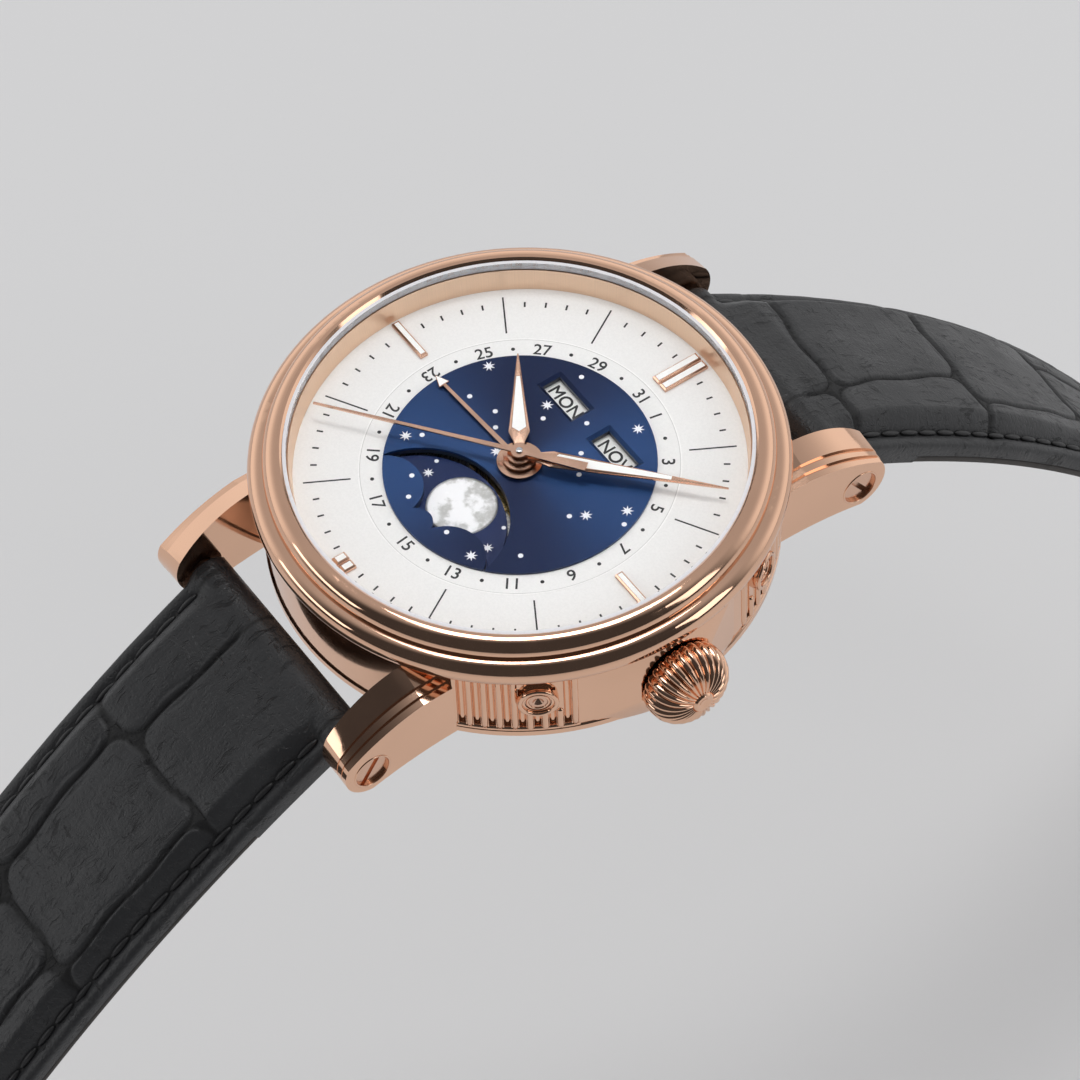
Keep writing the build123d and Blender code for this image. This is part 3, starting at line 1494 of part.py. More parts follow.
# Motion work: cannon pinion with its driving wheel, minute wheel and hour wheel
cannon_pinion_bottom = drive_level + wheel_thickness + motion_pinion_gap
hour_wheel_bottom = cannon_pinion_bottom + motion_pinion_height + pivot_play
minute_hand_bottom = dial_top + minute_hand_height
hour_hand_bottom = dial_top + hour_hand_height
date_hand_bottom = dial_top + date_hand_height
centre_to_minute = direction(origin_at, minute_wheel_at)
minute_to_centre = direction(minute_wheel_at, origin_at)

with BuildPart() as cannon_pinion:
    with BuildSketch(Plane.XY.offset(drive_level)):
        with BuildLine():
            Polyline(*gear_points(drive_wheel_teeth, drive_wheel_radius,
                                  facing_turn(direction(origin_at, third_at), drive_wheel_teeth)),
                     close=True)
        make_face()
    extrude(amount=wheel_thickness)
    with BuildSketch(Plane.XY.offset(cannon_pinion_bottom)):
        with BuildLine():
            Polyline(*gear_points(cannon_teeth, cannon_pitch_radius, centre_to_minute), close=True)
        make_face()
    extrude(amount=motion_pinion_height)
    with BuildSketch(Plane.XY.offset(drive_level)):
        Circle(cannon_pipe_radius)
    extrude(amount=minute_hand_bottom - drive_level)
    with BuildSketch(Plane.XY.offset(drive_level)):
        Circle(cannon_bore_radius)
    extrude(amount=minute_hand_bottom - drive_level, mode=Mode.SUBTRACT)
write(cannon_pinion.part, "cannon_pinion")

with BuildPart() as minute_wheel:
    with BuildSketch(Plane(origin=(minute_wheel_at[0], minute_wheel_at[1],
                                   cannon_pinion_bottom + pivot_play), z_dir=(0, 0, 1))):
        with BuildLine():
            Polyline(*gear_points(minute_wheel_teeth, minute_wheel_radius,
                                  facing_turn(minute_to_centre, minute_wheel_teeth)), close=True)
        make_face()
    extrude(amount=wheel_thickness)
    with BuildSketch(Plane(origin=(minute_wheel_at[0], minute_wheel_at[1],
                                   cannon_pinion_bottom + pivot_play), z_dir=(0, 0, 1))):
        with BuildLine():
            Polyline(*gear_points(minute_pinion_teeth, minute_pinion_radius, minute_to_centre),
                     close=True)
        make_face()
    extrude(amount=hour_wheel_bottom + wheel_thickness - cannon_pinion_bottom - pivot_play)
    with BuildSketch(Plane(origin=(minute_wheel_at[0], minute_wheel_at[1],
                                   plate_top - pivot_depth), z_dir=(0, 0, 1))):
        Circle(pivot_radius)
    extrude(amount=calendar_top - plate_top + pivot_depth)
write(minute_wheel.part, "minute_wheel")

with BuildPart() as hour_wheel:
    with BuildSketch(Plane.XY.offset(hour_wheel_bottom)):
        with BuildLine():
            Polyline(*gear_points(hour_wheel_teeth, hour_wheel_radius,
                                  facing_turn(centre_to_minute, hour_wheel_teeth)), close=True)
        make_face()
    extrude(amount=wheel_thickness)
    with BuildSketch(Plane.XY.offset(hour_wheel_bottom)):
        Circle(hour_pipe_radius)
    extrude(amount=hour_hand_bottom - hour_wheel_bottom)
    with BuildSketch(Plane.XY.offset(hour_wheel_bottom)):
        Circle(hour_bore_radius)
    extrude(amount=hour_hand_bottom - hour_wheel_bottom, mode=Mode.SUBTRACT)
write(hour_wheel.part, "hour_wheel")

date_wheel_bottom = calendar_top + motion_base
with BuildPart() as date_wheel:
    with BuildSketch(Plane.XY.offset(date_wheel_bottom)):
        with BuildLine():
            star_points = []
            for k in range(date_wheel_teeth):
                for share, radius in ((0, date_wheel_radius),
                                      (half_share, date_wheel_radius - date_wheel_depth)):
                    a = 2 * pi * (k + share) / date_wheel_teeth
                    star_points.append((radius * cos(a), radius * sin(a)))
            Polyline(*star_points, close=True)
        make_face()
    extrude(amount=wheel_thickness)
    with BuildSketch(Plane.XY.offset(calendar_top + pivot_play)):
        Circle(date_pipe_radius)
    extrude(amount=date_hand_bottom - calendar_top - pivot_play)
    with BuildSketch(Plane.XY.offset(calendar_top + pivot_play)):
        Circle(date_bore_radius)
    extrude(amount=date_hand_bottom - calendar_top, mode=Mode.SUBTRACT)
write(date_wheel.part, "date_wheel")


# Hands, drawn along +Y and turned to their dial angle
def hand_plane(height, angle):
    return Plane(origin=(0, 0, height), x_dir=(cos(radians(angle)), -sin(radians(angle)), 0),
                 z_dir=(0, 0, 1))


def leaf_hand(bottom, angle, hub_radius, neck, neck_place, width, widest, length, bore):
    """A pointed hand whose blade is widest near its hub."""
    plane = hand_plane(bottom, angle)
    with BuildPart() as hand:
        with BuildSketch(plane):
            with BuildLine():
                Polyline((-neck / 2, 0), (-neck / 2, neck_place), (-width / 2, widest),
                         (-hand_tip_width / 2, length), (hand_tip_width / 2, length),
                         (width / 2, widest), (neck / 2, neck_place), (neck / 2, 0), close=True)
            make_face()
            Circle(hub_radius)
        extrude(amount=blade_thickness)
        with BuildSketch(plane):
            Circle(bore)
        extrude(amount=blade_thickness, mode=Mode.SUBTRACT)
    return hand.part


write(leaf_hand(hour_hand_bottom, hour_hand_angle, hour_hub_radius, hour_hand_neck,
                hour_hand_neck_place, hour_hand_width, hour_hand_widest, hour_hand_length,
                hour_bore_radius), "hour_hand")
write(leaf_hand(minute_hand_bottom, minute_hand_angle, minute_hub_radius, minute_hand_neck,
                minute_hand_neck_place, minute_hand_width, minute_hand_widest,
                minute_hand_length, cannon_bore_radius), "minute_hand")

with BuildPart() as seconds_hand:
    seconds_plane = hand_plane(seconds_hand_bottom, seconds_hand_angle)
    with BuildSketch(seconds_plane):
        with BuildLine():
            Polyline((-seconds_hand_root / 2, 0), (-seconds_hand_tip / 2, seconds_hand_length),
                     (seconds_hand_tip / 2, seconds_hand_length), (seconds_hand_root / 2, 0),
                     (seconds_tail_root / 2, 0), (seconds_tail_width / 2, -seconds_tail_length),
                     (-seconds_tail_width / 2, -seconds_tail_length), (-seconds_tail_root / 2, 0),
                     close=True)
        make_face()
        Circle(seconds_hub_radius)
    extrude(amount=blade_thickness)
    with BuildSketch(Plane.XY.offset(seconds_hand_bottom + blade_thickness)):
        Circle(seconds_cap_radius)
    extrude(amount=seconds_cap_height)
write(seconds_hand.part, "seconds_hand")

with BuildPart() as date_hand:
    with BuildSketch(hand_plane(date_hand_bottom, date_hand_angle)):
        arrow_start = date_hand_length - date_arrow_length
        with BuildLine():
            Polyline((-date_hand_root / 2, 0), (-date_hand_tip_width / 2, arrow_start),
                     (-date_arrow_width / 2, arrow_start), (0, date_hand_length),
                     (date_arrow_width / 2, arrow_start), (date_hand_tip_width / 2, arrow_start),
                     (date_hand_root / 2, 0), close=True)
        make_face()
        Circle(date_hub_radius)
    extrude(amount=blade_thickness)
    with BuildSketch(Plane.XY.offset(date_hand_bottom)):
        Circle(date_bore_radius)
    extrude(amount=blade_thickness, mode=Mode.SUBTRACT)
write(date_hand.part, "date_hand")


# Calendar discs on short arbors
def calendar_disc(at):
    with BuildPart() as disc:
        with BuildSketch(Plane.XY.offset(disc_bottom)):
            with Locations(at):
                Circle(disc_radius)
        extrude(amount=disc_thickness)
        with BuildSketch(Plane.XY.offset(calendar_bottom + pivot_play)):
            with Locations(at):
                Circle(disc_arbor_radius)
        extrude(amount=disc_bottom - calendar_bottom - pivot_play)
    return disc.part


write(calendar_disc((day_axis_x, day_axis_y)), "day_disc")
write(calendar_disc((month_axis_x, month_axis_y)), "month_disc")

with BuildPart() as moon_disc:
    add(calendar_disc((moon_axis_x, moon_axis_y)))
    with BuildSketch(Plane.XY.offset(disc_top)):
        with Locations((moon_axis_x, moon_axis_y + moon_orbit),
                       (moon_axis_x, moon_axis_y - moon_orbit)):
            Circle(moon_radius)
    extrude(amount=moon_relief)
write(moon_disc.part, "moon_disc")


# Strap halves: a rim slab of full width with a raised pad, over a thin lining
def arcs_through(points):
    for a, b, c in zip(points[::2], points[1::2], points[2::2]):
        chord = hypot(c[0] - a[0], c[1] - a[1])
        bow = abs((b[0] - a[0]) * (c[1] - a[1]) - (b[1] - a[1]) * (c[0] - a[0])) / chord
        if bow > straight_bow:
            ThreePointArc(a, b, c)
        else:
            Line(a, c)


def band_face(side, stations, low, high):
    """Side view of a band between two rises, as a sketch ready to be extruded."""
    with BuildSketch(side_plane(side)) as view:
        low_points = offset_points(stations, low)
        high_points = offset_points(stations, high)
        with BuildLine():
            arcs_through(high_points)
            arcs_through(low_points)
            Line(low_points[0], high_points[0])
            Line(low_points[-1], high_points[-1])
        make_face()
    return view.sketch


def taper_cut(side, stations, start_half, end_half):
    """Cut the band being built to a width that narrows along the strap."""
    far = start_half + strap_loop_radius + cut_over
    end = stations[-1][0]
    near_y = stations[0][1] - strap_loop_radius - cut_over
    edge = [(start_half, side * near_y)]
    for station in stations:
        edge.append((start_half + (end_half - start_half) * station[0] / end, side * station[1]))
    last = edge[-1]
    edge.append((last[0], last[1] + side * strap_loop_radius * 2))
    for sx in (1, -1):
        with BuildSketch(Plane.XY.offset(bar_height + strap_loop_radius * 2)) as waste:
            with BuildLine():
                Polyline(*([(sx * x, y) for x, y in edge]
                           + [(sx * far, edge[-1][1]), (sx * far, edge[0][1])]), close=True)
            make_face()
        extrude(waste.sketch, amount=-long_strap_length - short_strap_length,
                dir=(0, 0, 1), mode=Mode.SUBTRACT)


def lining_of(stations, last):
    """Stations of the lining: it starts beyond the loop round the lug bar."""
    return stations[lining_first_station:len(stations) - last]


def strap_pad(side, stations):
    """The raised padding under the upper leather."""
    with BuildPart() as pad:
        extrude(band_face(side, stations, [0 for s in stations], pad_rises(stations)),
                amount=pad_half_width, both=True)
        taper_cut(side, stations, pad_half_width, pad_half_width_end)
    return pad.part


def strap_lining(side, stations, last, start_half, end_half):
    """Thin leather under the strap, of the strap's own width."""
    own = lining_of(stations, last)
    end = stations[-1][0]
    with BuildPart() as lining:
        extrude(band_face(side, own, floor_drops_of(own, end), lining_rises_of(own, end)),
                amount=start_half, both=True)
        taper_cut(side, stations, start_half, end_half)
    return lining


def lining_room(side, stations, last):
    """The room that the lining takes away from the upper leather."""
    own = lining_of(stations, last)
    end = stations[-1][0]
    with BuildPart() as room:
        extrude(band_face(side, own, [d - lining_thickness for d in floor_drops_of(own, end)],
                          lining_rises_of(own, end)),
                amount=strap_half_width + cut_over, both=True)
    return room.part


def strap_body(side, stations, last):
    """Upper leather with its padding and the loop round the lug bar."""
    with BuildPart() as body:
        extrude(band_face(side, stations, floor_drops(stations), rim_rises(stations)),
                amount=strap_half_width, both=True)
        with BuildSketch(side_plane(side)):
            with Locations((bar_y, bar_height)):
                Circle(strap_loop_radius)
        extrude(amount=strap_half_width, both=True)
        taper_cut(side, stations, strap_half_width, strap_end_half_width)
        add(strap_pad(side, stations))
        add(lining_room(side, stations, last), mode=Mode.SUBTRACT)
        with BuildSketch(side_plane(side)):
            with Locations((bar_y, bar_height)):
                Circle(bar_radius + strap_loop_play)
        extrude(amount=strap_half_width + cut_over, both=True, mode=Mode.SUBTRACT)
    return body


# Short half: it ends in a loop round the buckle bar, slotted for the tongue
short_end = short_stations[-1]
short_end_plane = strap_plane(short_end, 1)


def buckle_side(offset_x):
    """Plane square to the buckle bar; its x runs along the strap, its y out of its face."""
    return Plane(origin=(offset_x, short_end[1], short_end[2]),
                 x_dir=(0, cos(radians(short_end[3])), -sin(radians(short_end[3]))),
                 z_dir=(1, 0, 0))


def tongue_slot():
    """Cut the slot for the buckle tongue in the strap piece being built."""
    with BuildSketch(short_end_plane) as slot:
        with Locations((0, buckle_loop_radius + cut_over)):
            Rectangle(2 * tongue_slot_half, tongue_slot_length, align=(Align.CENTER, Align.MAX))
    extrude(slot.sketch, amount=2 * buckle_loop_radius, both=True, mode=Mode.SUBTRACT)


with BuildPart() as strap_short:
    add(strap_body(1, short_stations, short_lining_last).part)
    with BuildSketch(buckle_side(0)):
        Circle(buckle_loop_radius)
    extrude(amount=strap_end_half_width, both=True)
    with BuildSketch(buckle_side(0)):
        Circle(buckle_bar_radius + strap_loop_play)
    extrude(amount=strap_half_width, both=True, mode=Mode.SUBTRACT)
    tongue_slot()
write(strap_short.part, "strap_short")

with BuildPart() as strap_short_lining:
    add(strap_lining(1, short_stations, short_lining_last, strap_half_width,
                     strap_end_half_width).part)
write(strap_short_lining.part, "strap_short_lining")

# Long half: a rounded point and a row of holes
long_end = long_stations[-1][0]


def long_end_cuts():
    """Cut the point and the holes in the strap piece being built."""
    tip_plane = strap_plane(station_at(long_stations, long_end - strap_tip_length), -1)
    with BuildSketch(tip_plane) as waste:
        Rectangle(2 * strap_half_width, strap_tip_length + strap_step,
                  align=(Align.CENTER, Align.MIN))
        with BuildSketch(mode=Mode.SUBTRACT):
            with BuildLine():
                ThreePointArc((strap_end_half_width, 0),
                              (strap_end_half_width * tip_round_x_share,
                               strap_tip_length * tip_round_y_share),
                              (0, strap_tip_length))
                ThreePointArc((0, strap_tip_length),
                              (-strap_end_half_width * tip_round_x_share,
                               strap_tip_length * tip_round_y_share),
                              (-strap_end_half_width, 0))
                Line((-strap_end_half_width, 0), (strap_end_half_width, 0))
            make_face()
    extrude(waste.sketch, amount=strap_tip_length, both=True, mode=Mode.SUBTRACT)
    for k in range(strap_hole_count):
        place = long_end - strap_hole_first - k * strap_hole_pitch
        with BuildSketch(strap_plane(station_at(long_stations, place), -1)) as hole:
            Circle(strap_hole_radius)
        extrude(hole.sketch, amount=2 * pad_rise, both=True, mode=Mode.SUBTRACT)


with BuildPart() as strap_long:
    add(strap_body(-1, long_stations, 0).part)
    long_end_cuts()
write(strap_long.part, "strap_long")

with BuildPart() as strap_long_lining:
    add(strap_lining(-1, long_stations, 0, strap_half_width, strap_end_half_width).part)
    long_end_cuts()
write(strap_long_lining.part, "strap_long_lining")

# Buckle: frame, bar and tongue
buckle_inner_half = strap_end_half_width + buckle_side_play
buckle_outer_half = buckle_inner_half + buckle_arm_width
with BuildPart() as buckle_frame:
    with BuildSketch(short_end_plane.offset(-buckle_thickness / 2)):
        with Locations((0, -buckle_back_reach)):
            Rectangle(2 * buckle_outer_half, buckle_back_reach + buckle_reach,
                      align=(Align.CENTER, Align.MIN))
            Rectangle(2 * buckle_inner_half,
                      buckle_back_reach + buckle_reach - buckle_front_width,
                      align=(Align.CENTER, Align.MIN), mode=Mode.SUBTRACT)
    extrude(amount=buckle_thickness)
    buckle_along = Axis((0, short_end[1], short_end[2]), short_end_plane.y_dir)
    buckle_up = Axis((0, short_end[1], short_end[2]), short_end_plane.z_dir)
    fillet(buckle_frame.edges().filter_by(buckle_up).sort_by(buckle_along)[-2:],
           radius=buckle_corner)
    for sx in (1, -1):
        with BuildSketch(buckle_side(sx * (buckle_inner_half - cut_over))):
            Circle(buckle_pin_radius)
        extrude(amount=sx * (buckle_pin_depth + cut_over), mode=Mode.SUBTRACT)
write(buckle_frame.part, "buckle_frame")

with BuildPart() as buckle_bar:
    with BuildSketch(buckle_side(0)):
        Circle(buckle_bar_radius)
    extrude(amount=buckle_inner_half - bar_end_play, both=True)
    with BuildSketch(buckle_side(0)):
        Circle(buckle_pin_radius)
    extrude(amount=buckle_inner_half + buckle_pin_depth, both=True)
write(buckle_bar.part, "buckle_bar")

tongue_bottom = buckle_thickness / 2 + running_play
tongue_knee = buckle_reach - buckle_front_width - tongue_overhang
tongue_end = buckle_reach + tongue_overhang
with BuildPart() as buckle_tongue:
    with BuildSketch(buckle_side(0)):
        Circle(tongue_ring_radius)
        with BuildLine():
            Polyline((0, 0), (tongue_knee, tongue_bottom), (tongue_end, tongue_bottom),
                     (tongue_end, tongue_bottom + tongue_thickness / 2),
                     (tongue_knee, tongue_bottom + tongue_thickness), (0, tongue_ring_radius),
                     close=True)
        make_face()
        Circle(buckle_bar_radius + running_play, mode=Mode.SUBTRACT)
    extrude(amount=tongue_half_width, both=True)
write(buckle_tongue.part, "buckle_tongue")


# Keepers: leather bands round the strap, with room for the other half
def keeper(place, gap):
    station = station_at(short_stations, place)
    share = place / short_strap_length
    half = strap_half_width + (strap_end_half_width - strap_half_width) * share + keeper_play
    drop = strap_floor + (strap_floor_end - strap_floor) * share + gap
    plane = strap_plane(station, 1)
    across = Plane(origin=plane.origin, x_dir=plane.x_dir, z_dir=-plane.y_dir)
    with BuildPart() as band:
        with BuildSketch(across):
            with Locations((0, -drop - keeper_wall)):
                Rectangle(2 * (half + keeper_wall), drop + keeper_room + 2 * keeper_wall,
                          align=(Align.CENTER, Align.MIN))
            with Locations((0, -drop)):
                Rectangle(2 * half, drop + keeper_room, align=(Align.CENTER, Align.MIN),
                          mode=Mode.SUBTRACT)
        extrude(amount=keeper_width / 2, both=True)
        fillet(band.edges().filter_by(Axis(plane.origin, plane.y_dir)), radius=keeper_round)
    return band.part


write(keeper(fixed_keeper_place, keeper_contact_gap), "fixed_keeper")
write(keeper(free_keeper_place, keeper_free_gap), "free_keeper")
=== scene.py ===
import math

import bmesh
import bpy
import numpy as np
from mathutils import Matrix, Vector


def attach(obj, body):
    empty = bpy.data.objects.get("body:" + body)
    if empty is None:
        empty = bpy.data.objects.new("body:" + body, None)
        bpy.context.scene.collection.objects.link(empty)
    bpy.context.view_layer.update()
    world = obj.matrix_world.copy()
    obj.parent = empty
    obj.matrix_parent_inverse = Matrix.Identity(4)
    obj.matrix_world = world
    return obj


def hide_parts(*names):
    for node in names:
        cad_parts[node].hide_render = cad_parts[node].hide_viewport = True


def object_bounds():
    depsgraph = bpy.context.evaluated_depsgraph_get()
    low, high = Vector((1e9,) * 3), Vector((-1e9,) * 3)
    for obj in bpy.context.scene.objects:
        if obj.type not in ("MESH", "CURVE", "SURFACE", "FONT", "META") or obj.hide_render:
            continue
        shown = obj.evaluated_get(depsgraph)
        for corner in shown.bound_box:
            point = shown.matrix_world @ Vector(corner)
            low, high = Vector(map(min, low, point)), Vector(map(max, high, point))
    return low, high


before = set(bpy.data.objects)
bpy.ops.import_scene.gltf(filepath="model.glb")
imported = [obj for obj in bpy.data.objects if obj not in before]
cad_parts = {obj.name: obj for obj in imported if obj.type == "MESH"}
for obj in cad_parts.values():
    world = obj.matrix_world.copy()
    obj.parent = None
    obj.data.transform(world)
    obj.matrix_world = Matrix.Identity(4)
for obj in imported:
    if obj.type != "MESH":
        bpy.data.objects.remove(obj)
cad_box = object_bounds()

MM = 0.001
DIAL = 8.6                      # height of the dial's upper face, in mm
CENTRE_DISC = 0.22              # how far the blue centre stands above the dial
CENTRE_EDGE = 10.36             # radius of the blue centre's rim
PRINT = 0.012                   # thickness of printed marks
WELD = 0.0004                   # doubled points of a letter lie closer than this


# Node tools

def add_node(tree, kind, inputs=None, **properties):
    """Add a shader or geometry node, link or set its inputs, and give it back."""
    node = tree.nodes.new(kind)
    for key, value in properties.items():
        setattr(node, key, value)
    for key, value in (inputs or {}).items():
        socket = node.inputs[key]
        if isinstance(value, bpy.types.NodeSocket):
            tree.links.new(value, socket)
        else:
            socket.default_value = value
    return node


def math_node(tree, operation, a, b=0.0):
    return add_node(tree, "ShaderNodeMath", {0: a, 1: b}, operation=operation).outputs[0]


def ramp(tree, value, low, high, to_low=0.0, to_high=1.0, smooth=True):
    """Map low..high onto to_low..to_high, with soft or straight ends."""
    node = add_node(tree, "ShaderNodeMapRange",
                    {0: value, 1: low, 2: high, 3: to_low, 4: to_high})
    node.interpolation_type = "SMOOTHSTEP" if smooth else "LINEAR"
    return node.outputs[0]


def mix_colour(tree, share, a, b):
    """Blend from colour a to colour b."""
    node = add_node(tree, "ShaderNodeMix", data_type="RGBA")
    for key, value in ((0, share), (6, a), (7, b)):
        if isinstance(value, bpy.types.NodeSocket):
            tree.links.new(value, node.inputs[key])
        else:
            node.inputs[key].default_value = value
    return node.outputs[2]


def new_group(name, inputs, outputs):
    """An empty shader group with named number sockets."""
    tree = bpy.data.node_groups.new(name, "ShaderNodeTree")
    for label, value in inputs:
        socket = tree.interface.new_socket(label, in_out="INPUT", socket_type="NodeSocketFloat")
        socket.default_value = value
    for label in outputs:
        tree.interface.new_socket(label, in_out="OUTPUT", socket_type="NodeSocketFloat")
    entry = tree.nodes.new("NodeGroupInput")
    leave = tree.nodes.new("NodeGroupOutput")
    return tree, entry.outputs, leave.inputs


def object_coords(tree):
    return add_node(tree, "ShaderNodeTexCoord").outputs["Object"]


def scaled(tree, vector, scale, offset=(0, 0, 0)):
    """Coordinates stretched by a scale, then shifted."""
    return add_node(tree, "ShaderNodeMapping",
                    {"Vector": vector, "Scale": scale, "Location": offset}).outputs[0]


def noise(tree, vector, scale, detail=3.0, rough=0.5, dims="3D"):
    """A noise value, over space or along one number."""
    node = add_node(tree, "ShaderNodeTexNoise", noise_dimensions=dims)
    key = "W" if dims == "1D" else "Vector"
    tree.links.new(vector, node.inputs[key])
    node.inputs["Scale"].default_value = scale
    node.inputs["Detail"].default_value = detail
    node.inputs["Roughness"].default_value = rough
    return node.outputs[0]


# Shader groups that several materials share

def make_handling():
    """Handling marks: a soft smudge and hair scratches, for anything polished."""
    tree, given, out = new_group(
        "handling_marks", [("Base", 0.1), ("Spread", 0.06), ("Scratches", 0.5)],
        ["Roughness", "Height"])
    place = object_coords(tree)
    smudge = ramp(tree, noise(tree, place, 260.0, 4.0, 0.6), 0.35, 0.7)
    fine = noise(tree, scaled(tree, place, (900, 60, 900)), 1.0, 2.0)
    cross = noise(tree, scaled(tree, place, (70, 1100, 400), (3, 1, 2)), 1.0, 2.0)
    lines = math_node(tree, "MAXIMUM", ramp(tree, fine, 0.62, 0.7), ramp(tree, cross, 0.64, 0.72))
    lines = math_node(tree, "MULTIPLY", lines, given["Scratches"])
    total = math_node(tree, "ADD", smudge, lines)
    tree.links.new(math_node(tree, "ADD", given["Base"],
                             math_node(tree, "MULTIPLY", total, given["Spread"])),
                   out["Roughness"])
    tree.links.new(math_node(tree, "MULTIPLY", lines, -1.0), out["Height"])
    return tree


def make_turning():
    """Fine lines round the dial's axis (Across 0) or out from it (Across 1), and a painted sheen:
    bright and dark sectors by angle.
    """
    tree, given, out = new_group(
        "turning_lines", [("Across", 0.0), ("Pitch", 0.05)], ["Height", "PaintedSheen"])
    parts = add_node(tree, "ShaderNodeSeparateXYZ", {0: object_coords(tree)}).outputs
    radius = add_node(tree, "ShaderNodeVectorMath", operation="LENGTH")
    flat = add_node(tree, "ShaderNodeCombineXYZ", {0: parts[0], 1: parts[1]}).outputs[0]
    tree.links.new(flat, radius.inputs[0])
    angle = math_node(tree, "ARCTAN2", parts[1], parts[0])
    rings = math_node(tree, "DIVIDE", radius.outputs["Value"],
                      math_node(tree, "MULTIPLY", given["Pitch"], MM))
    rays = math_node(tree, "MULTIPLY", angle, 180.0)
    chosen = add_node(tree, "ShaderNodeMix", {0: given["Across"], 2: rings, 3: rays},
                      data_type="FLOAT").outputs[0]
    tree.links.new(noise(tree, chosen, 1.0, 3.0, 0.7, "1D"), out["Height"])
    # Painted sheen: two bright and two dark sectors by angle, standing in for the light on sunray
    # brushing
    sheen_swing = math_node(tree, "SINE", math_node(tree, "MULTIPLY", angle, 2.0))
    tree.links.new(ramp(tree, sheen_swing, -1.0, 1.0), out["PaintedSheen"])
    return tree


def make_leather():
    """Leather: a broad swell, fine wrinkles, cracks and pores."""
    tree, given, out = new_group(
        "leather_grain", [("Wrinkle", 1.0), ("Pore", 1.0)], ["Height", "Crease", "Patch"])
    place = object_coords(tree)
    warp = add_node(tree, "ShaderNodeTexNoise", {"Vector": place, "Scale": 420.0, "Detail": 2.0})
    bent = add_node(tree, "ShaderNodeVectorMath",
                    {0: place, 1: add_node(tree, "ShaderNodeVectorMath",
                                           {0: warp.outputs[1], 1: (0.0016, 0.0016, 0.0016)},
                                           operation="MULTIPLY").outputs[0]},
                    operation="ADD").outputs[0]
    streaks = noise(tree, scaled(tree, bent, (2600, 380, 380)), 1.0, 4.0, 0.6)
    cross = noise(tree, scaled(tree, bent, (500, 2300, 2300), (2, 5, 1)), 1.0, 4.0, 0.6)
    crack = math_node(tree, "MULTIPLY", ramp(tree, streaks, 0.56, 0.66),
                      ramp(tree, noise(tree, place, 300.0, 2.0), 0.40, 0.60))
    cross_crack = math_node(tree, "MULTIPLY", ramp(tree, cross, 0.58, 0.68),
                            ramp(tree, noise(tree, scaled(tree, place, (1, 1, 1), (3, 1, 7)),
                                             260.0, 2.0), 0.44, 0.64))
    cracks = math_node(tree, "MAXIMUM", crack, cross_crack)
    pores = add_node(tree, "ShaderNodeTexVoronoi", feature="F1")
    tree.links.new(bent, pores.inputs["Vector"])
    pores.inputs["Scale"].default_value = 2600.0
    pore = ramp(tree, pores.outputs["Distance"], 0.05, 0.35)
    patch = noise(tree, place, 170.0, 3.0, 0.55)
    grain = noise(tree, place, 4200.0, 3.0, 0.65)
    ripple = math_node(tree, "MULTIPLY", math_node(tree, "ADD", streaks, cross), 0.6)
    ripple = math_node(tree, "ADD", ripple, math_node(tree, "MULTIPLY", grain, 0.35))
    wrinkle = math_node(tree, "MULTIPLY", math_node(tree, "SUBTRACT", ripple, cracks),
                        given["Wrinkle"])
    fine = math_node(tree, "MULTIPLY", pore, math_node(tree, "MULTIPLY", given["Pore"], 0.22))
    swell = math_node(tree, "MULTIPLY", patch, 0.5)
    tree.links.new(math_node(tree, "ADD", math_node(tree, "ADD", wrinkle, fine), swell),
                   out["Height"])
    tree.links.new(cracks, out["Crease"])
    tree.links.new(patch, out["Patch"])
    return tree


handling = make_handling()
turning = make_turning()
leather = make_leather()


def new_material(name, colour, metallic=0.0, roughness=0.4, **sockets):
    """A Principled material; the other values are set on the shader's own sockets."""
    material = bpy.data.materials.new(name)
    material.use_nodes = True
    tree = material.node_tree
    shader = tree.nodes["Principled BSDF"]
    shader.inputs["Base Color"].default_value = (*colour, 1.0)
    shader.inputs["Metallic"].default_value = metallic
    shader.inputs["Roughness"].default_value = roughness
    for key, value in sockets.items():
        shader.inputs[key.replace("_", " ")].default_value = value
    return material, tree, shader


def bump(tree, shader, height, strength, distance):
    """Relief on a shader; distance in mm."""
    node = add_node(tree, "ShaderNodeBump", {"Height": height, "Strength": strength,
                                             "Distance": distance * MM})
    tree.links.new(node.outputs[0], shader.inputs["Normal"])


def use(tree, group, **values):
    """Place a shader group with its own values and give its outputs."""
    node = tree.nodes.new("ShaderNodeGroup")
    node.node_tree = group
    for key, value in values.items():
        node.inputs[key].default_value = value
    return node.outputs


def polished(name, colour, base, spread, scratches=0.5):
    """Polished metal with handling marks and a faint drift in its colour."""
    material, tree, shader = new_material(name, colour, 1.0, base)
    marks = use(tree, handling, Base=base, Spread=spread, Scratches=scratches)
    tree.links.new(marks["Roughness"], shader.inputs["Roughness"])
    drift = ramp(tree, noise(tree, object_coords(tree), 90.0, 2.0), 0.3, 0.7)
    darker = tuple(c * 0.94 for c in colour) + (1.0,)
    tree.links.new(mix_colour(tree, drift, darker, (*colour, 1.0)), shader.inputs["Base Color"])
    bump(tree, shader, marks["Height"], 0.15, 0.004)
    return material


def turned(name, colour, base, across=0.0, pitch=0.05, strength=0.5, spread=0.12):
    """Metal with turned rings or brushed rays about the dial's axis; pitch in mm."""
    material, tree, shader = new_material(name, colour, 1.0, base)
    lines = use(tree, turning, Across=across, Pitch=pitch)
    tree.links.new(ramp(tree, lines["Height"], 0.2, 0.8, base - spread / 2, base + spread),
                   shader.inputs["Roughness"])
    darker = tuple(c * 0.86 for c in colour) + (1.0,)
    tree.links.new(mix_colour(tree, lines["Height"], darker, (*colour, 1.0)),
                   shader.inputs["Base Color"])
    bump(tree, shader, lines["Height"], strength, 0.006)
    return material


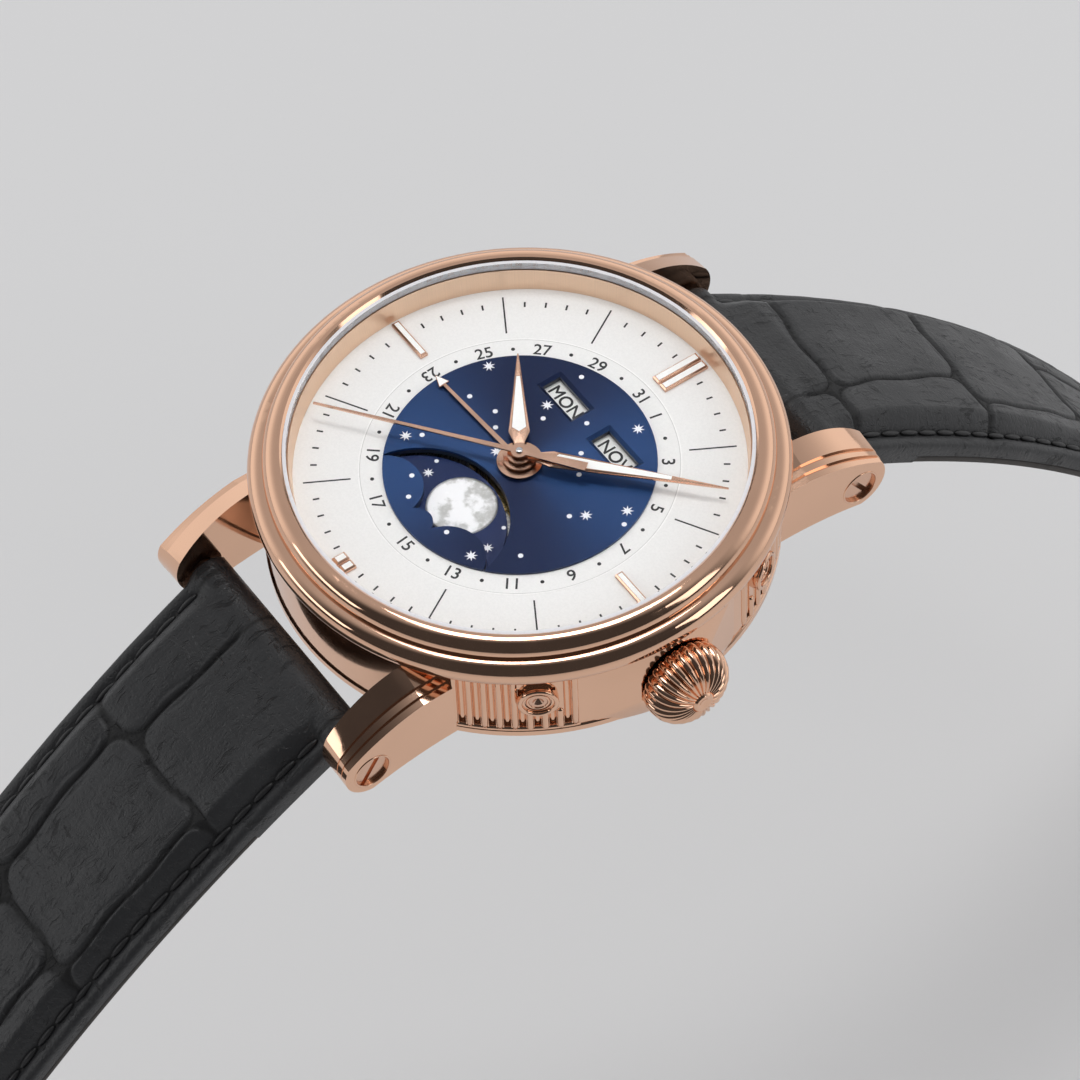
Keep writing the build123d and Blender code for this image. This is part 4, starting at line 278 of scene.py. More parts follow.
case_gold = polished("case_rose_gold", (0.90, 0.56, 0.39), 0.06, 0.07, 0.3)
trim_gold = polished("trim_rose_gold", (0.82, 0.52, 0.38), 0.16, 0.08)
rehaut_gold = turned("rehaut_brushed_gold", (0.93, 0.68, 0.50), 0.36, across=1.0, strength=0.15,
                     spread=0.05)
steel = polished("polished_steel", (0.66, 0.66, 0.68), 0.18, 0.12)
dark_steel = polished("lug_bar_steel", (0.55, 0.55, 0.57), 0.25, 0.12)
plate_metal = turned("grained_plate", (0.72, 0.71, 0.69), 0.28, pitch=0.09)
wheel_brass = turned("train_brass", (0.83, 0.62, 0.28), 0.22, pitch=0.06)
blued = polished("blued_spring", (0.06, 0.12, 0.42), 0.2, 0.1)


def striped(name, colour, width, angle):
    """Plate decoration of broad parallel stripes, each brushed across its width, with a painted
    sheen that darkens the colour towards each stripe's edges.
    """
    material, tree, shader = new_material(name, colour, 1.0, 0.25)
    place = add_node(tree, "ShaderNodeMapping",
                     {"Vector": object_coords(tree), "Rotation": (0, 0, math.radians(angle))})
    parts = add_node(tree, "ShaderNodeSeparateXYZ", {0: place.outputs[0]}).outputs
    across = math_node(tree, "DIVIDE", parts[0], width * MM)
    share = math_node(tree, "FRACT", across)
    swell = math_node(tree, "SINE", math_node(tree, "MULTIPLY", share, math.pi))
    lines = noise(tree, scaled(tree, place.outputs[0], (14000, 500, 500)), 1.0, 2.0)
    tree.links.new(ramp(tree, swell, 0.0, 1.0, 0.42, 0.16), shader.inputs["Roughness"])
    # Painted sheen: the colour is darker towards each stripe's edges and full in its middle, as
    # light falls on the stripes
    darker = tuple(c * 0.72 for c in colour) + (1.0,)
    tree.links.new(mix_colour(tree, swell, darker, (*colour, 1.0)), shader.inputs["Base Color"])
    bump(tree, shader, math_node(tree, "ADD", swell, math_node(tree, "MULTIPLY", lines, 0.3)),
         0.5, 0.02)
    return material


bridge_metal = striped("striped_bridges", (0.74, 0.73, 0.71), 1.9, 35)
rotor_metal = striped("striped_rotor", (0.80, 0.70, 0.55), 2.4, -35)


def glassy(name, ior, tint):
    """Clear glass that lets light through to what it covers."""
    material, tree, shader = new_material(name, tint, 0.0, 0.0)
    shader.inputs["Transmission Weight"].default_value = 1.0
    shader.inputs["IOR"].default_value = ior
    clear = add_node(tree, "ShaderNodeBsdfTransparent", {"Color": (*tint, 1.0)})
    path = add_node(tree, "ShaderNodeLightPath")
    blend = add_node(tree, "ShaderNodeMixShader",
                     {0: path.outputs["Is Shadow Ray"], 1: shader.outputs[0],
                      2: clear.outputs[0]})
    smear = ramp(tree, noise(tree, object_coords(tree), 320.0, 4.0), 0.45, 0.8, 0.0, 0.02)
    tree.links.new(smear, shader.inputs["Roughness"])
    tree.links.new(blend.outputs[0], tree.nodes["Material Output"].inputs["Surface"])
    return material


crystal_glass = glassy("sapphire_crystal", 1.05, (1.0, 1.0, 1.0))
back_glass = glassy("back_window", 1.3, (0.97, 0.99, 0.98))


def plain_grain(name, colour, roughness, scale, depth, colour_drop=0.12, **sockets):
    """Matt or satin material with a fine even grain."""
    material, tree, shader = new_material(name, colour, 0.0, roughness, **sockets)
    grain = noise(tree, object_coords(tree), scale, 5.0, 0.65)
    darker = tuple(c * (1.0 - colour_drop) for c in colour) + (1.0,)
    tree.links.new(mix_colour(tree, ramp(tree, grain, 0.35, 0.65), darker, (*colour, 1.0)),
                   shader.inputs["Base Color"])
    tree.links.new(ramp(tree, grain, 0.3, 0.7, roughness - 0.05, roughness + 0.08),
                   shader.inputs["Roughness"])
    bump(tree, shader, grain, 0.4, depth)
    return material


pale_gasket = plain_grain("pale_gasket", (0.93, 0.93, 0.96), 0.3, 2600.0, 0.002, 0.03)
black_seal = plain_grain("black_seal", (0.02, 0.02, 0.022), 0.6, 3000.0, 0.01)
ruby = plain_grain("ruby_jewels", (0.55, 0.02, 0.10), 0.12, 900.0, 0.002)
print_black = plain_grain("printed_black", (0.012, 0.012, 0.014), 0.45, 9000.0, 0.002)
print_white = plain_grain("printed_white", (0.86, 0.87, 0.90), 0.4, 9000.0, 0.002, 0.03)
lume_white = plain_grain("white_inlay", (0.90, 0.90, 0.88), 0.5, 7000.0, 0.004, 0.03)
disc_white = plain_grain("satin_disc", (0.80, 0.80, 0.78), 0.42, 5200.0, 0.003, 0.04)


def dial_finish():
    """Silvered dial; its cut edges under the blue centre, the walls of the windows, are painted
    near-black as shade.
    """
    material = plain_grain("silvered_dial", (0.82, 0.815, 0.80), 0.36, 5200.0, 0.004, 0.04,
                           Coat_Weight=0.25, Coat_Roughness=0.12)
    tree = material.node_tree
    shader = tree.nodes["Principled BSDF"]
    reach = add_node(tree, "ShaderNodeVectorMath",
                     {0: scaled(tree, object_coords(tree), (1000, 1000, 0))}, operation="LENGTH")
    # Painted shade: near-black inside the blue centre's rim, where only the window walls show
    centre = ramp(tree, reach.outputs["Value"], CENTRE_EDGE, CENTRE_EDGE + 0.02, 1.0, 0.0,
                  smooth=False)
    silver = shader.inputs["Base Color"].links[0].from_socket
    tree.links.new(mix_colour(tree, centre, silver, (0.006, 0.009, 0.018, 1.0)),
                   shader.inputs["Base Color"])
    return material


dial_white = dial_finish()


def sunray_blue():
    """Dark blue lacquer over a sunray-brushed base; its sunray sheen is painted into the colour as
    lighter and darker sectors.
    """
    material, tree, shader = new_material("sunray_blue", (0.006, 0.018, 0.075), 0.7, 0.3,
                                          Coat_Weight=0.35, Coat_Roughness=0.06)
    lines = use(tree, turning, Across=1.0)
    # Painted shade and highlight: a darker blue and a lighter blue, mixed by the painted sheen
    # sectors
    dark = mix_colour(tree, lines["Height"], (0.003, 0.008, 0.036, 1.0), (0.006, 0.018, 0.070, 1.0))
    painted_highlight_blue = mix_colour(tree, lines["Height"], (0.007, 0.028, 0.105, 1.0),
                        (0.014, 0.055, 0.165, 1.0))
    tree.links.new(mix_colour(tree, lines["PaintedSheen"], dark, painted_highlight_blue), shader.inputs["Base Color"])
    bump(tree, shader, lines["Height"], 0.7, 0.012)
    return material


blue_lacquer = sunray_blue()
moon_blue = plain_grain("moon_disc_blue", (0.003, 0.016, 0.085), 0.45, 5200.0, 0.001, 0.08)
moon_blue.node_tree.nodes["Principled BSDF"].inputs["Specular IOR Level"].default_value = 0.3


def leather_material(name, colour, furrow_shade_colour, wrinkle, pore, depth, roughness):
    """Leather; its furrows between the scales and the seam's hollow (the strap's own 'crease'
    values) and the grain's cracks get painted shade.
    """
    material, tree, shader = new_material(name, colour, 0.0, roughness)
    shader.inputs["Specular IOR Level"].default_value = 0.42
    grain = use(tree, leather, Wrinkle=wrinkle, Pore=pore)
    worn = tuple(c * 1.5 for c in colour) + (1.0,)
    lit = mix_colour(tree, ramp(tree, grain["Patch"], 0.45, 0.75, 0.0, 0.6), (*colour, 1.0), worn)
    furrow = add_node(tree, "ShaderNodeAttribute", attribute_name="crease").outputs["Fac"]
    # Painted shade: furrows and cracks are mixed towards the darker shade colour
    dark = math_node(tree, "MAXIMUM", math_node(tree, "MULTIPLY", grain["Crease"], 0.6), furrow)
    tree.links.new(mix_colour(tree, dark, lit, (*furrow_shade_colour, 1.0)), shader.inputs["Base Color"])
    rough = ramp(tree, grain["Patch"], 0.25, 0.75, roughness - 0.06, roughness + 0.08)
    tree.links.new(math_node(tree, "ADD", rough, math_node(tree, "MULTIPLY", dark, 0.25)),
                   shader.inputs["Roughness"])
    bump(tree, shader, grain["Height"], 0.6, depth)
    return material


# The second colour of each leather is its painted shade in furrows and cracks
strap_leather = leather_material("black_alligator", (0.019, 0.0195, 0.021),
                                 (0.004, 0.004, 0.0045), 1.0, 1.0, 0.16, 0.38)
lining_leather = leather_material("strap_lining", (0.045, 0.040, 0.037),
                                  (0.030, 0.027, 0.025), 0.25, 1.0, 0.03, 0.6)
edge_paint = plain_grain("edge_paint", (0.018, 0.018, 0.019), 0.42, 2400.0, 0.01)
thread = plain_grain("stitch_thread", (0.014, 0.014, 0.015), 0.42, 9000.0, 0.02)

# What each CAD node is made of
looks = {
    case_gold: ("middle_case", "bezel", "case_back", "crown", "buckle_frame", "buckle_tongue"),
    trim_gold: ("lug_screws", "hour_markers", "seconds_hand", "minute_hand", "hour_hand",
                "date_hand", "corrector_2h", "corrector_4h", "corrector_8h", "corrector_10h"),
    rehaut_gold: ("rehaut_ring",),
    crystal_glass: ("crystal",),
    back_glass: ("case_back_glass",),
    pale_gasket: ("crystal_gasket",),
    black_seal: ("case_back_gasket", "crown_gasket"),
    steel: ("case_back_screws", "movement_screws", "winding_stem", "crown_tube", "escape_wheel",
            "pallet_fork", "rotor_bearing", "cannon_pinion"),
    dark_steel: ("lug_bars", "buckle_bar"),
    plate_metal: ("main_plate", "calendar_plate", "movement_ring"),
    bridge_metal: ("barrel_bridge", "train_bridge", "balance_cock"),
    rotor_metal: ("rotor",),
    wheel_brass: ("barrel", "second_wheel", "third_wheel", "fourth_wheel", "balance_wheel",
                  "minute_wheel", "hour_wheel", "date_wheel"),
    blued: ("balance_spring",),
    ruby: ("jewels",),
    dial_white: ("dial_plate",),
    blue_lacquer: ("centre_disc",),
    disc_white: ("day_disc", "month_disc"),
    moon_blue: ("moon_disc",),
    strap_leather: ("strap_short", "strap_long", "fixed_keeper", "free_keeper"),
    lining_leather: ("strap_short_lining", "strap_long_lining"),
}
for material, names in looks.items():
    for name in names:
        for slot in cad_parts[name].material_slots:
            slot.material = material

# Camera: its directions and place were solved from the circles and hour marks of the photo
camera_data = bpy.data.cameras.new("photo_camera")
camera_data.lens = 190.157
camera_data.sensor_width = 36.0
camera_data.clip_start = 0.01
camera_data.clip_end = 20.0
camera = bpy.data.objects.new("photo_camera", camera_data)
bpy.context.collection.objects.link(camera)
right = (0.57017653, 0.82093158, -0.03114579)
down = (0.6438057, -0.47006142, -0.60378513)
ahead = (-0.51030672, 0.32421227, -0.79653842)
place = (0.223730, -0.140707, 0.347356)
camera.matrix_world = Matrix((
    (right[0], -down[0], -ahead[0], place[0]),
    (right[1], -down[1], -ahead[1], place[1]),
    (right[2], -down[2], -ahead[2], place[2]),
    (0, 0, 0, 1)))
bpy.context.scene.camera = camera
bpy.context.scene.view_settings.view_transform = "Standard"

# Floor and room: pale behind and above, darker in front, for the metal to mirror
floor_height = cad_box[0][2] - 0.0002
bpy.ops.mesh.primitive_plane_add(size=6.0, location=(0, 0, floor_height))
floor = bpy.context.object
floor.name = "studio_floor"
floor.data.materials.append(new_material("pale_floor", (0.80, 0.80, 0.80), 0.0, 0.7)[0])

world = bpy.data.worlds.new("studio")
bpy.context.scene.world = world
world.use_nodes = True
world_tree = world.node_tree
background = world_tree.nodes["Background"]
path = add_node(world_tree, "ShaderNodeLightPath")
heading = add_node(world_tree, "ShaderNodeTexCoord").outputs["Generated"]
height_up = add_node(world_tree, "ShaderNodeSeparateXYZ", {0: heading}).outputs[2]
FAR_SIDE = (-0.81, 0.59, 0.0)
facing = add_node(world_tree, "ShaderNodeVectorMath", {0: heading, 1: FAR_SIDE},
                  operation="DOT_PRODUCT").outputs["Value"]
PALE = (0.9, 0.9, 0.9, 1.0)
CEILING = (0.46, 0.46, 0.47, 1.0)
DARK_SIDE = (0.05, 0.05, 0.052, 1.0)
AMBIENT = (0.56, 0.56, 0.57, 1.0)
upper = mix_colour(world_tree, ramp(world_tree, height_up, 0.25, 0.8), PALE, CEILING)
room = mix_colour(world_tree, ramp(world_tree, facing, -0.25, 0.3), DARK_SIDE, upper)
mirrored = math_node(world_tree, "GREATER_THAN",
                     math_node(world_tree, "ADD", path.outputs["Is Glossy Ray"],
                               path.outputs["Glossy Depth"]), 0.5)
lighting = math_node(world_tree, "GREATER_THAN", path.outputs["Diffuse Depth"], 0.5)
direct = mix_colour(world_tree, mirrored, PALE, room)
world_tree.links.new(mix_colour(world_tree, lighting, direct, AMBIENT),
                     background.inputs["Color"])
background.inputs["Strength"].default_value = 1.0


def softbox(name, at, look_at, size_x, size_y, power):
    """A rectangular lamp, sizes in metres."""
    data = bpy.data.lights.new(name, "AREA")
    data.shape = "RECTANGLE"
    data.size = size_x
    data.size_y = size_y
    data.energy = power
    lamp = bpy.data.objects.new(name, data)
    lamp.location = at
    lamp.rotation_euler = (Vector(look_at) - Vector(at)).to_track_quat("-Z", "Y").to_euler()
    bpy.context.collection.objects.link(lamp)


softbox("key_softbox", (-0.19, 0.14, 0.87), (0, 0, 0), 0.36, 0.26, 1.5)
softbox("side_softbox", (0.62, 0.45, 0.40), (0, 0, 0), 0.25, 0.5, 0.7)
softbox("low_softbox", (-0.35, -0.75, 0.30), (0, 0, -0.02), 0.5, 0.2, 0.6)


# Geometry tools

def new_object(name, vertices, faces=(), edges=()):
    """A linked mesh object made from points in mm, its closed skins facing outwards."""
    mesh = bpy.data.meshes.new(name)
    mesh.from_pydata([tuple(float(c) * MM for c in v) for v in vertices], edges, faces)
    mesh.validate()
    outward = bmesh.new()
    outward.from_mesh(mesh)
    bmesh.ops.recalc_face_normals(outward, faces=outward.faces)
    outward.to_mesh(mesh)
    outward.free()
    item = bpy.data.objects.new(name, mesh)
    bpy.context.collection.objects.link(item)
    return item


def piece(name, vertices, faces, material, body, smooth=True, slot=None):
    """A finished mesh made from points in mm, riding on a body."""
    item = new_object(name, vertices, faces)
    mesh = item.data
    mesh.materials.append(material)
    for polygon in mesh.polygons:
        polygon.use_smooth = smooth
    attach(item, body)
    return item


def evaluated(item):
    """A new plain mesh of an object as its modifiers or its text leave it."""
    bpy.context.view_layer.update()
    depsgraph = bpy.context.evaluated_depsgraph_get()
    return bpy.data.meshes.new_from_object(item.evaluated_get(depsgraph))


def polar(radius, angle):
    """A point at a clock angle in degrees, in mm."""
    turn = math.radians(90 - angle)
    return radius * math.cos(turn), radius * math.sin(turn)


def prisms(outlines, low, high):
    """Vertices and faces of upright prisms from flat outlines that run anticlockwise."""
    vertices, faces = [], []
    for outline in outlines:
        start, count = len(vertices), len(outline)
        vertices += [(x, y, low) for x, y in outline] + [(x, y, high) for x, y in outline]
        faces.append([start + k for k in reversed(range(count))])
        faces.append([start + count + k for k in range(count)])
        for k in range(count):
            after = (k + 1) % count
            faces.append([start + k, start + after, start + count + after, start + count + k])
    return vertices, faces


def turned_point(point, angle):
    """Place a point of a mark drawn upright at twelve o'clock at a clock angle."""
    turn = math.radians(-angle)
    x, y = point
    return (x * math.cos(turn) - y * math.sin(turn), x * math.sin(turn) + y * math.cos(turn))


def circle(x, y, radius, count=16):
    """Points round a circle, anticlockwise from its east side."""
    turns = [2 * math.pi * k / count for k in range(count)]
    return [(x + radius * math.cos(turn), y + radius * math.sin(turn)) for turn in turns]


def skin(sections, links):
    """Points of a run of closed loops of equal length, and the faces between linked loops."""
    count = len(sections[0])
    vertices = [tuple(p) for section in sections for p in section]
    faces = []
    for low, high in links:
        for j in range(count):
            after = (j + 1) % count
            faces.append((low * count + j, high * count + j, high * count + after,
                          low * count + after))
    return vertices, faces


def tube(sections):
    """A closed skin over a run of loops, with a flat face at each end."""
    vertices, faces = skin(sections, [(k, k + 1) for k in range(len(sections) - 1)])
    count, end = len(sections[0]), len(vertices)
    faces.append(list(range(count)))
    faces.append(list(range(end - count, end))[::-1])
    return vertices, faces


def ring_skin(sections):
    """A closed skin over loops of which the last joins the first."""
    total = len(sections)
    return skin(sections, [(k, (k + 1) % total) for k in range(total)])


def joined(shapes):
    """Several shapes' vertices and faces as one."""
    vertices, faces = [], []
    for more, more_faces in shapes:
        faces += [[len(vertices) + j for j in face] for face in more_faces]
        vertices += more
    return vertices, faces


def flat_marks(name, outlines, material, body, height, thickness=PRINT):
    """Thin marks that stand on a level surface."""
    return piece(name, *prisms(outlines, height, height + thickness), material, body,
                 smooth=False)


def sharpen(item, degrees):
    """Keep edges sharper than an angle crisp under smooth shading."""
    mesh = bmesh.new()
    mesh.from_mesh(item.data)
    limit = math.radians(degrees)
    for edge in mesh.edges:
        edge.smooth = len(edge.link_faces) == 2 and edge.calc_face_angle(0.0) < limit
    mesh.to_mesh(item.data)
    mesh.free()


# Repeated marks and stitches

def new_geometry_tree(name, inputs):
    """An empty geometry tree with named inputs and one geometry output."""
    tree = bpy.data.node_groups.new(name, "GeometryNodeTree")
    for label, kind, value in inputs:
        socket = tree.interface.new_socket(label, in_out="INPUT",
                                           socket_type="NodeSocket" + kind)
        if value is not None:
            socket.default_value = value
    tree.interface.new_socket("Geometry", in_out="OUTPUT", socket_type="NodeSocketGeometry")
    given = tree.nodes.new("NodeGroupInput").outputs
    leave = tree.nodes.new("NodeGroupOutput").inputs
    return tree, given, leave[0]


def end_tree(tree, points, instance, turn, finish, leave):
    """Copy a shape onto points as real faces with their material, and end the tree."""
    copies = add_node(tree, "GeometryNodeInstanceOnPoints",
                      {"Points": points, "Instance": instance, "Rotation": turn})
    real = add_node(tree, "GeometryNodeRealizeInstances", {0: copies.outputs[0]})
    made = add_node(tree, "GeometryNodeSetMaterial", {"Geometry": real.outputs[0],
                                                      "Material": finish})
    tree.links.new(made.outputs[0], leave)
    return copies


def marks_tree():
    """Geometry nodes: blocks set out round a circle, every so many of them left out."""
    tree, given, leave = new_geometry_tree("marks_round_a_circle", (
        ("Count", "Int", 60), ("Radius", "Float", 0.01), ("Skip", "Int", 5),
        ("Size", "Vector", (0.001, 0.001, 0.001)), ("Height", "Float", 0.0086),
        ("Finish", "Material", None)))
    index = add_node(tree, "GeometryNodeInputIndex").outputs[0]
    turn = math_node(tree, "DIVIDE", math_node(tree, "MULTIPLY", index, -2 * math.pi),
                     given["Count"])
    east = math_node(tree, "MULTIPLY", math_node(tree, "SINE", turn),
                     math_node(tree, "MULTIPLY", given["Radius"], -1.0))
    north = math_node(tree, "MULTIPLY", math_node(tree, "COSINE", turn), given["Radius"])
    spot = add_node(tree, "ShaderNodeCombineXYZ", {0: east, 1: north, 2: given["Height"]})
    points = add_node(tree, "GeometryNodePoints", {"Count": given["Count"],
                                                   "Position": spot.outputs[0]})
    block = add_node(tree, "GeometryNodeMeshCube", {"Size": given["Size"]})
    angles = add_node(tree, "ShaderNodeCombineXYZ", {2: turn})
    copies = end_tree(tree, points.outputs[0], block.outputs[0], angles.outputs[0],
                      given["Finish"], leave)
    kept = math_node(tree, "GREATER_THAN", math_node(tree, "MODULO", index, given["Skip"]), 0.5)
    tree.links.new(kept, copies.inputs["Selection"])
    return tree


def stitches_tree():
    """Geometry nodes: lengths of thread laid end to end along a line, with gaps."""
    tree, given, leave = new_geometry_tree("stitches_along_a_seam", (
        ("Geometry", "Geometry", None), ("Pitch", "Float", 0.0026), ("Length", "Float", 0.002),
        ("Thread", "Float", 0.0003), ("Finish", "Material", None)))
    seam = add_node(tree, "GeometryNodeMeshToCurve", {"Mesh": given["Geometry"]})
    spaced = add_node(tree, "GeometryNodeResampleCurve", {"Curve": seam.outputs[0]})
    spaced.mode = "LENGTH"
    tree.links.new(given["Pitch"], spaced.inputs["Length"])
    bead = add_node(tree, "GeometryNodeMeshUVSphere", {"Segments": 8, "Rings": 6, "Radius": 0.5})
    size = add_node(tree, "ShaderNodeCombineXYZ", {0: given["Thread"], 1: given["Thread"],
                                                   2: given["Length"]})
    stitch = add_node(tree, "GeometryNodeTransform", {"Geometry": bead.outputs[0],
                                                      "Scale": size.outputs[0]})
    tangent = add_node(tree, "GeometryNodeInputTangent").outputs[0]
    along = add_node(tree, "FunctionNodeAlignRotationToVector", {"Vector": tangent}, axis="Z")
    end_tree(tree, spaced.outputs[0], stitch.outputs[0], along.outputs[0], given["Finish"],
             leave)
    return tree


marks_nodes = marks_tree()
stitch_nodes = stitches_tree()


def settle(item):
    """Turn an object's modifiers into its own plain mesh."""
    mesh = evaluated(item)
    item.modifiers.clear()
    item.data = mesh


def grown(name, tree, values, body, vertices=(), edges=(), smooth=False):
    """Run a geometry tree on a line or on nothing and keep its result as a plain mesh."""
    item = new_object(name, vertices, edges=edges)
    modifier = item.modifiers.new("grow", "NODES")
    modifier.node_group = tree
    for socket in tree.interface.items_tree:
        if socket.in_out == "INPUT" and socket.name in values:
            modifier[socket.identifier] = values[socket.name]
    settle(item)
    for polygon in item.data.polygons:
        polygon.use_smooth = smooth
    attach(item, body)


def ring_of_marks(name, count, radius, width, length, skip):
    """Printed marks round the dial; every skip-th one is left out."""
    grown(name, marks_nodes,
          {"Count": count, "Radius": radius * MM, "Skip": skip,
           "Size": [width * MM, length * MM, PRINT * MM], "Height": (DIAL + PRINT / 2) * MM,
           "Finish": print_black}, "watch")


# Dial printing
DATE_TRACK = 11.18              # radius of the date numerals and dots
DATE_STEP = 360.0 / 31
ring_of_marks("minute_ticks", 60, radius=15.58, width=0.15, length=0.5, skip=5)
ring_of_marks("hour_lines", 12, radius=14.59, width=0.13, length=3.6, skip=3)
flat_marks("date_dots", [circle(*polar(DATE_TRACK, day * DATE_STEP), 0.155)
                         for day in range(2, 31, 2)], print_black, "watch", DIAL)


def embolden(join, amount):
    """Move the walls of flat letters outwards, for heavier strokes."""
    join.normal_update()
    moves = []
    for vert in join.verts:
        walls = [face.normal for face in vert.link_faces if abs(face.normal.z) < 0.5]
        outward = sum(walls, Vector())
        if walls and outward.length > 0.01:
            moves.append((vert, outward.normalized() * amount))
    for vert, move in moves:
        vert.co += move


def lettering(name, texts, height, size, bold, body):
    """Flat letters; each text has its centre and turn in degrees, all made one mesh."""
    join = bmesh.new()
    for words, (x, y), turn in texts:
        curve = bpy.data.curves.new(name, "FONT")
        curve.body = words
        curve.size = size
        curve.align_x = "CENTER"
        curve.align_y = "CENTER"
        curve.extrude = PRINT / 2
        curve.resolution_u = 4
        item = bpy.data.objects.new(name, curve)
        bpy.context.collection.objects.link(item)
        made = evaluated(item)
        xs = [v.co.x for v in made.vertices]
        ys = [v.co.y for v in made.vertices]
        made.transform(Matrix.Translation((x, y, height + PRINT / 2))
                       @ Matrix.Rotation(math.radians(turn), 4, "Z")
                       @ Matrix.Translation((-(min(xs) + max(xs)) / 2,
                                             -(min(ys) + max(ys)) / 2, 0)))
        join.from_mesh(made)
        bpy.data.objects.remove(item)
        bpy.data.meshes.remove(made)
    bmesh.ops.remove_doubles(join, verts=join.verts, dist=WELD)
    bmesh.ops.recalc_face_normals(join, faces=join.faces)
    embolden(join, bold)
    bmesh.ops.scale(join, vec=(MM, MM, MM), verts=join.verts)
    mesh = bpy.data.meshes.new(name)
    join.to_mesh(mesh)
    join.free()
    mesh.materials.clear()
    mesh.materials.append(print_black)
    for polygon in mesh.polygons:
        polygon.use_smooth = False
        polygon.material_index = 0
    item = bpy.data.objects.new(name, mesh)
    bpy.context.collection.objects.link(item)
    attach(item, body)


numerals = []
for day in range(1, 32, 2):
    angle = day * DATE_STEP
    flipped = 88 < angle < 268.5        # the lower ones stand the right way up
    numerals.append((str(day), polar(DATE_TRACK, angle), -angle + (180 if flipped else 0)))
lettering("date_numerals", numerals, DIAL, size=1.42, bold=0.018, body="watch")


def annulus(name, inner, outer, low, high, material, body, centre=(0, 0), steps=160):
    """A flat ring of square section."""
    section = ((inner, low), (outer, low), (outer, high), (inner, high))
    rings = [[(x, y, height) for x, y in circle(*centre, radius, steps)]
             for radius, height in section]
    piece(name, *ring_skin(rings), material, body, smooth=False)


# Painted shade and highlight of the dial's step: a flat darker ring inside it and a flat paler ring
# outside it
step_shade_paint = plain_grain("dial_step_shade", (0.60, 0.595, 0.58), 0.4, 5200.0, 0.002, 0.04)
step_highlight_paint = plain_grain("dial_step_highlight", (0.89, 0.885, 0.87), 0.3, 5200.0, 0.002, 0.02)
annulus("dial_step_line", 12.06, 12.12, DIAL, DIAL + 0.004, step_shade_paint, "watch")
annulus("dial_step_highlight_ring", 12.12, 12.22, DIAL, DIAL + 0.008, step_highlight_paint, "watch")

# Month and day names on their discs, one in each window
DISC_TOP = 7.8
CARD_TOP = 8.12                 # the printed rings stand just under the dial plate
CARD_INNER, CARD_OUTER = 2.5, 6.9
day_names = ("MON", "TUE", "WED", "THU", "FRI", "SAT", "SUN")
month_names = ("NOV", "DEC", "JAN", "FEB", "MAR", "APR", "MAY", "JUN", "JUL", "AUG", "SEP",
               "OCT")


def names_on_disc(name, names, axis, window, body):
    """A white ring of names on a disc; the first name stands in the window."""
    reach = (window[0] - axis[0], window[1] - axis[1])
    placed = []
    for k, words in enumerate(names):
        turn = 2 * math.pi * k / len(names)
        x = axis[0] + reach[0] * math.cos(turn) - reach[1] * math.sin(turn)
        y = axis[1] + reach[0] * math.sin(turn) + reach[1] * math.cos(turn)
        placed.append((words, (x, y), math.degrees(turn)))
    annulus(name + "_ring", CARD_INNER, CARD_OUTER, DISC_TOP, CARD_TOP, disc_white, body, axis,
            steps=96)
    lettering(name, placed, CARD_TOP, size=1.5, bold=0.03, body=body)


names_on_disc("day_names", day_names, axis=(-7.6, 4.4), window=(-3.17, 6.43), body="day")
names_on_disc("month_names", month_names, axis=(7.6, 4.4), window=(3.29, 6.43), body="month")


# Stars, dots and moons

def star_outline(x, y, reach, turn):
    """A star of eight points."""
    points = []
    for k in range(16):
        radius = reach if k % 2 == 0 else reach * 0.40
        angle = turn + math.pi * k / 8
        points.append((x + radius * math.cos(angle), y + radius * math.sin(angle)))
    return points


ON_DISC = DIAL + CENTRE_DISC
disc_stars = ((2.63, 9.05), (-3.31, 4.81), (-9.06, 3.39), (8.49, 3.89), (7.03, 1.15),
              (-7.21, -5.51), (5.07, -7.92), (-1.92, -0.82))
disc_dots = ((-4.02, 8.48), (-0.11, 6.23), (-2.44, 3.83), (1.99, 4.23), (3.56, 2.94),
             (9.39, 2.97), (6.35, 0.1), (-5.15, 1.29), (-7.5, 0.55), (-3.86, 0.43),
             (-6.55, -4.46), (7.24, -4.94), (-2.27, -8.58), (2.17, -8.15), (-3.79, -7.26))
star_shapes = [star_outline(x, y, 0.5, 0.3 * k) for k, (x, y) in enumerate(disc_stars)]
star_shapes += [circle(x, y, 0.2) for x, y in disc_dots]
flat_marks("disc_stars", star_shapes, print_white, "watch", ON_DISC)

MOON_AXIS = (0.0, -9.6)
MOON_DISC_TOP = 7.845
MOON_FACES = ((0.36, -5.58), (-0.36, -13.62))
MOON_RADIUS = 2.74
moon_stars = [(-3.75, -5.83), (4.74, -6.23)]
moon_stars += [(2 * MOON_AXIS[0] - x, 2 * MOON_AXIS[1] - y) for x, y in moon_stars]
moon_dots = [(-5.3, -8.1), (5.9, -9.3), (-4.3, -4.7), (3.9, -4.2), (-5.9, -10.9), (4.5, -13.6)]
flat_marks("moon_disc_stars", [star_outline(x, y, 0.45, 0.2) for x, y in moon_stars]
           + [circle(x, y, 0.17) for x, y in moon_dots], print_white, "moon", CARD_TOP)
piece("moon_disc_card", *prisms([circle(*MOON_AXIS, CARD_OUTER, 128)], MOON_DISC_TOP, CARD_TOP),
      moon_blue, "moon", smooth=False)


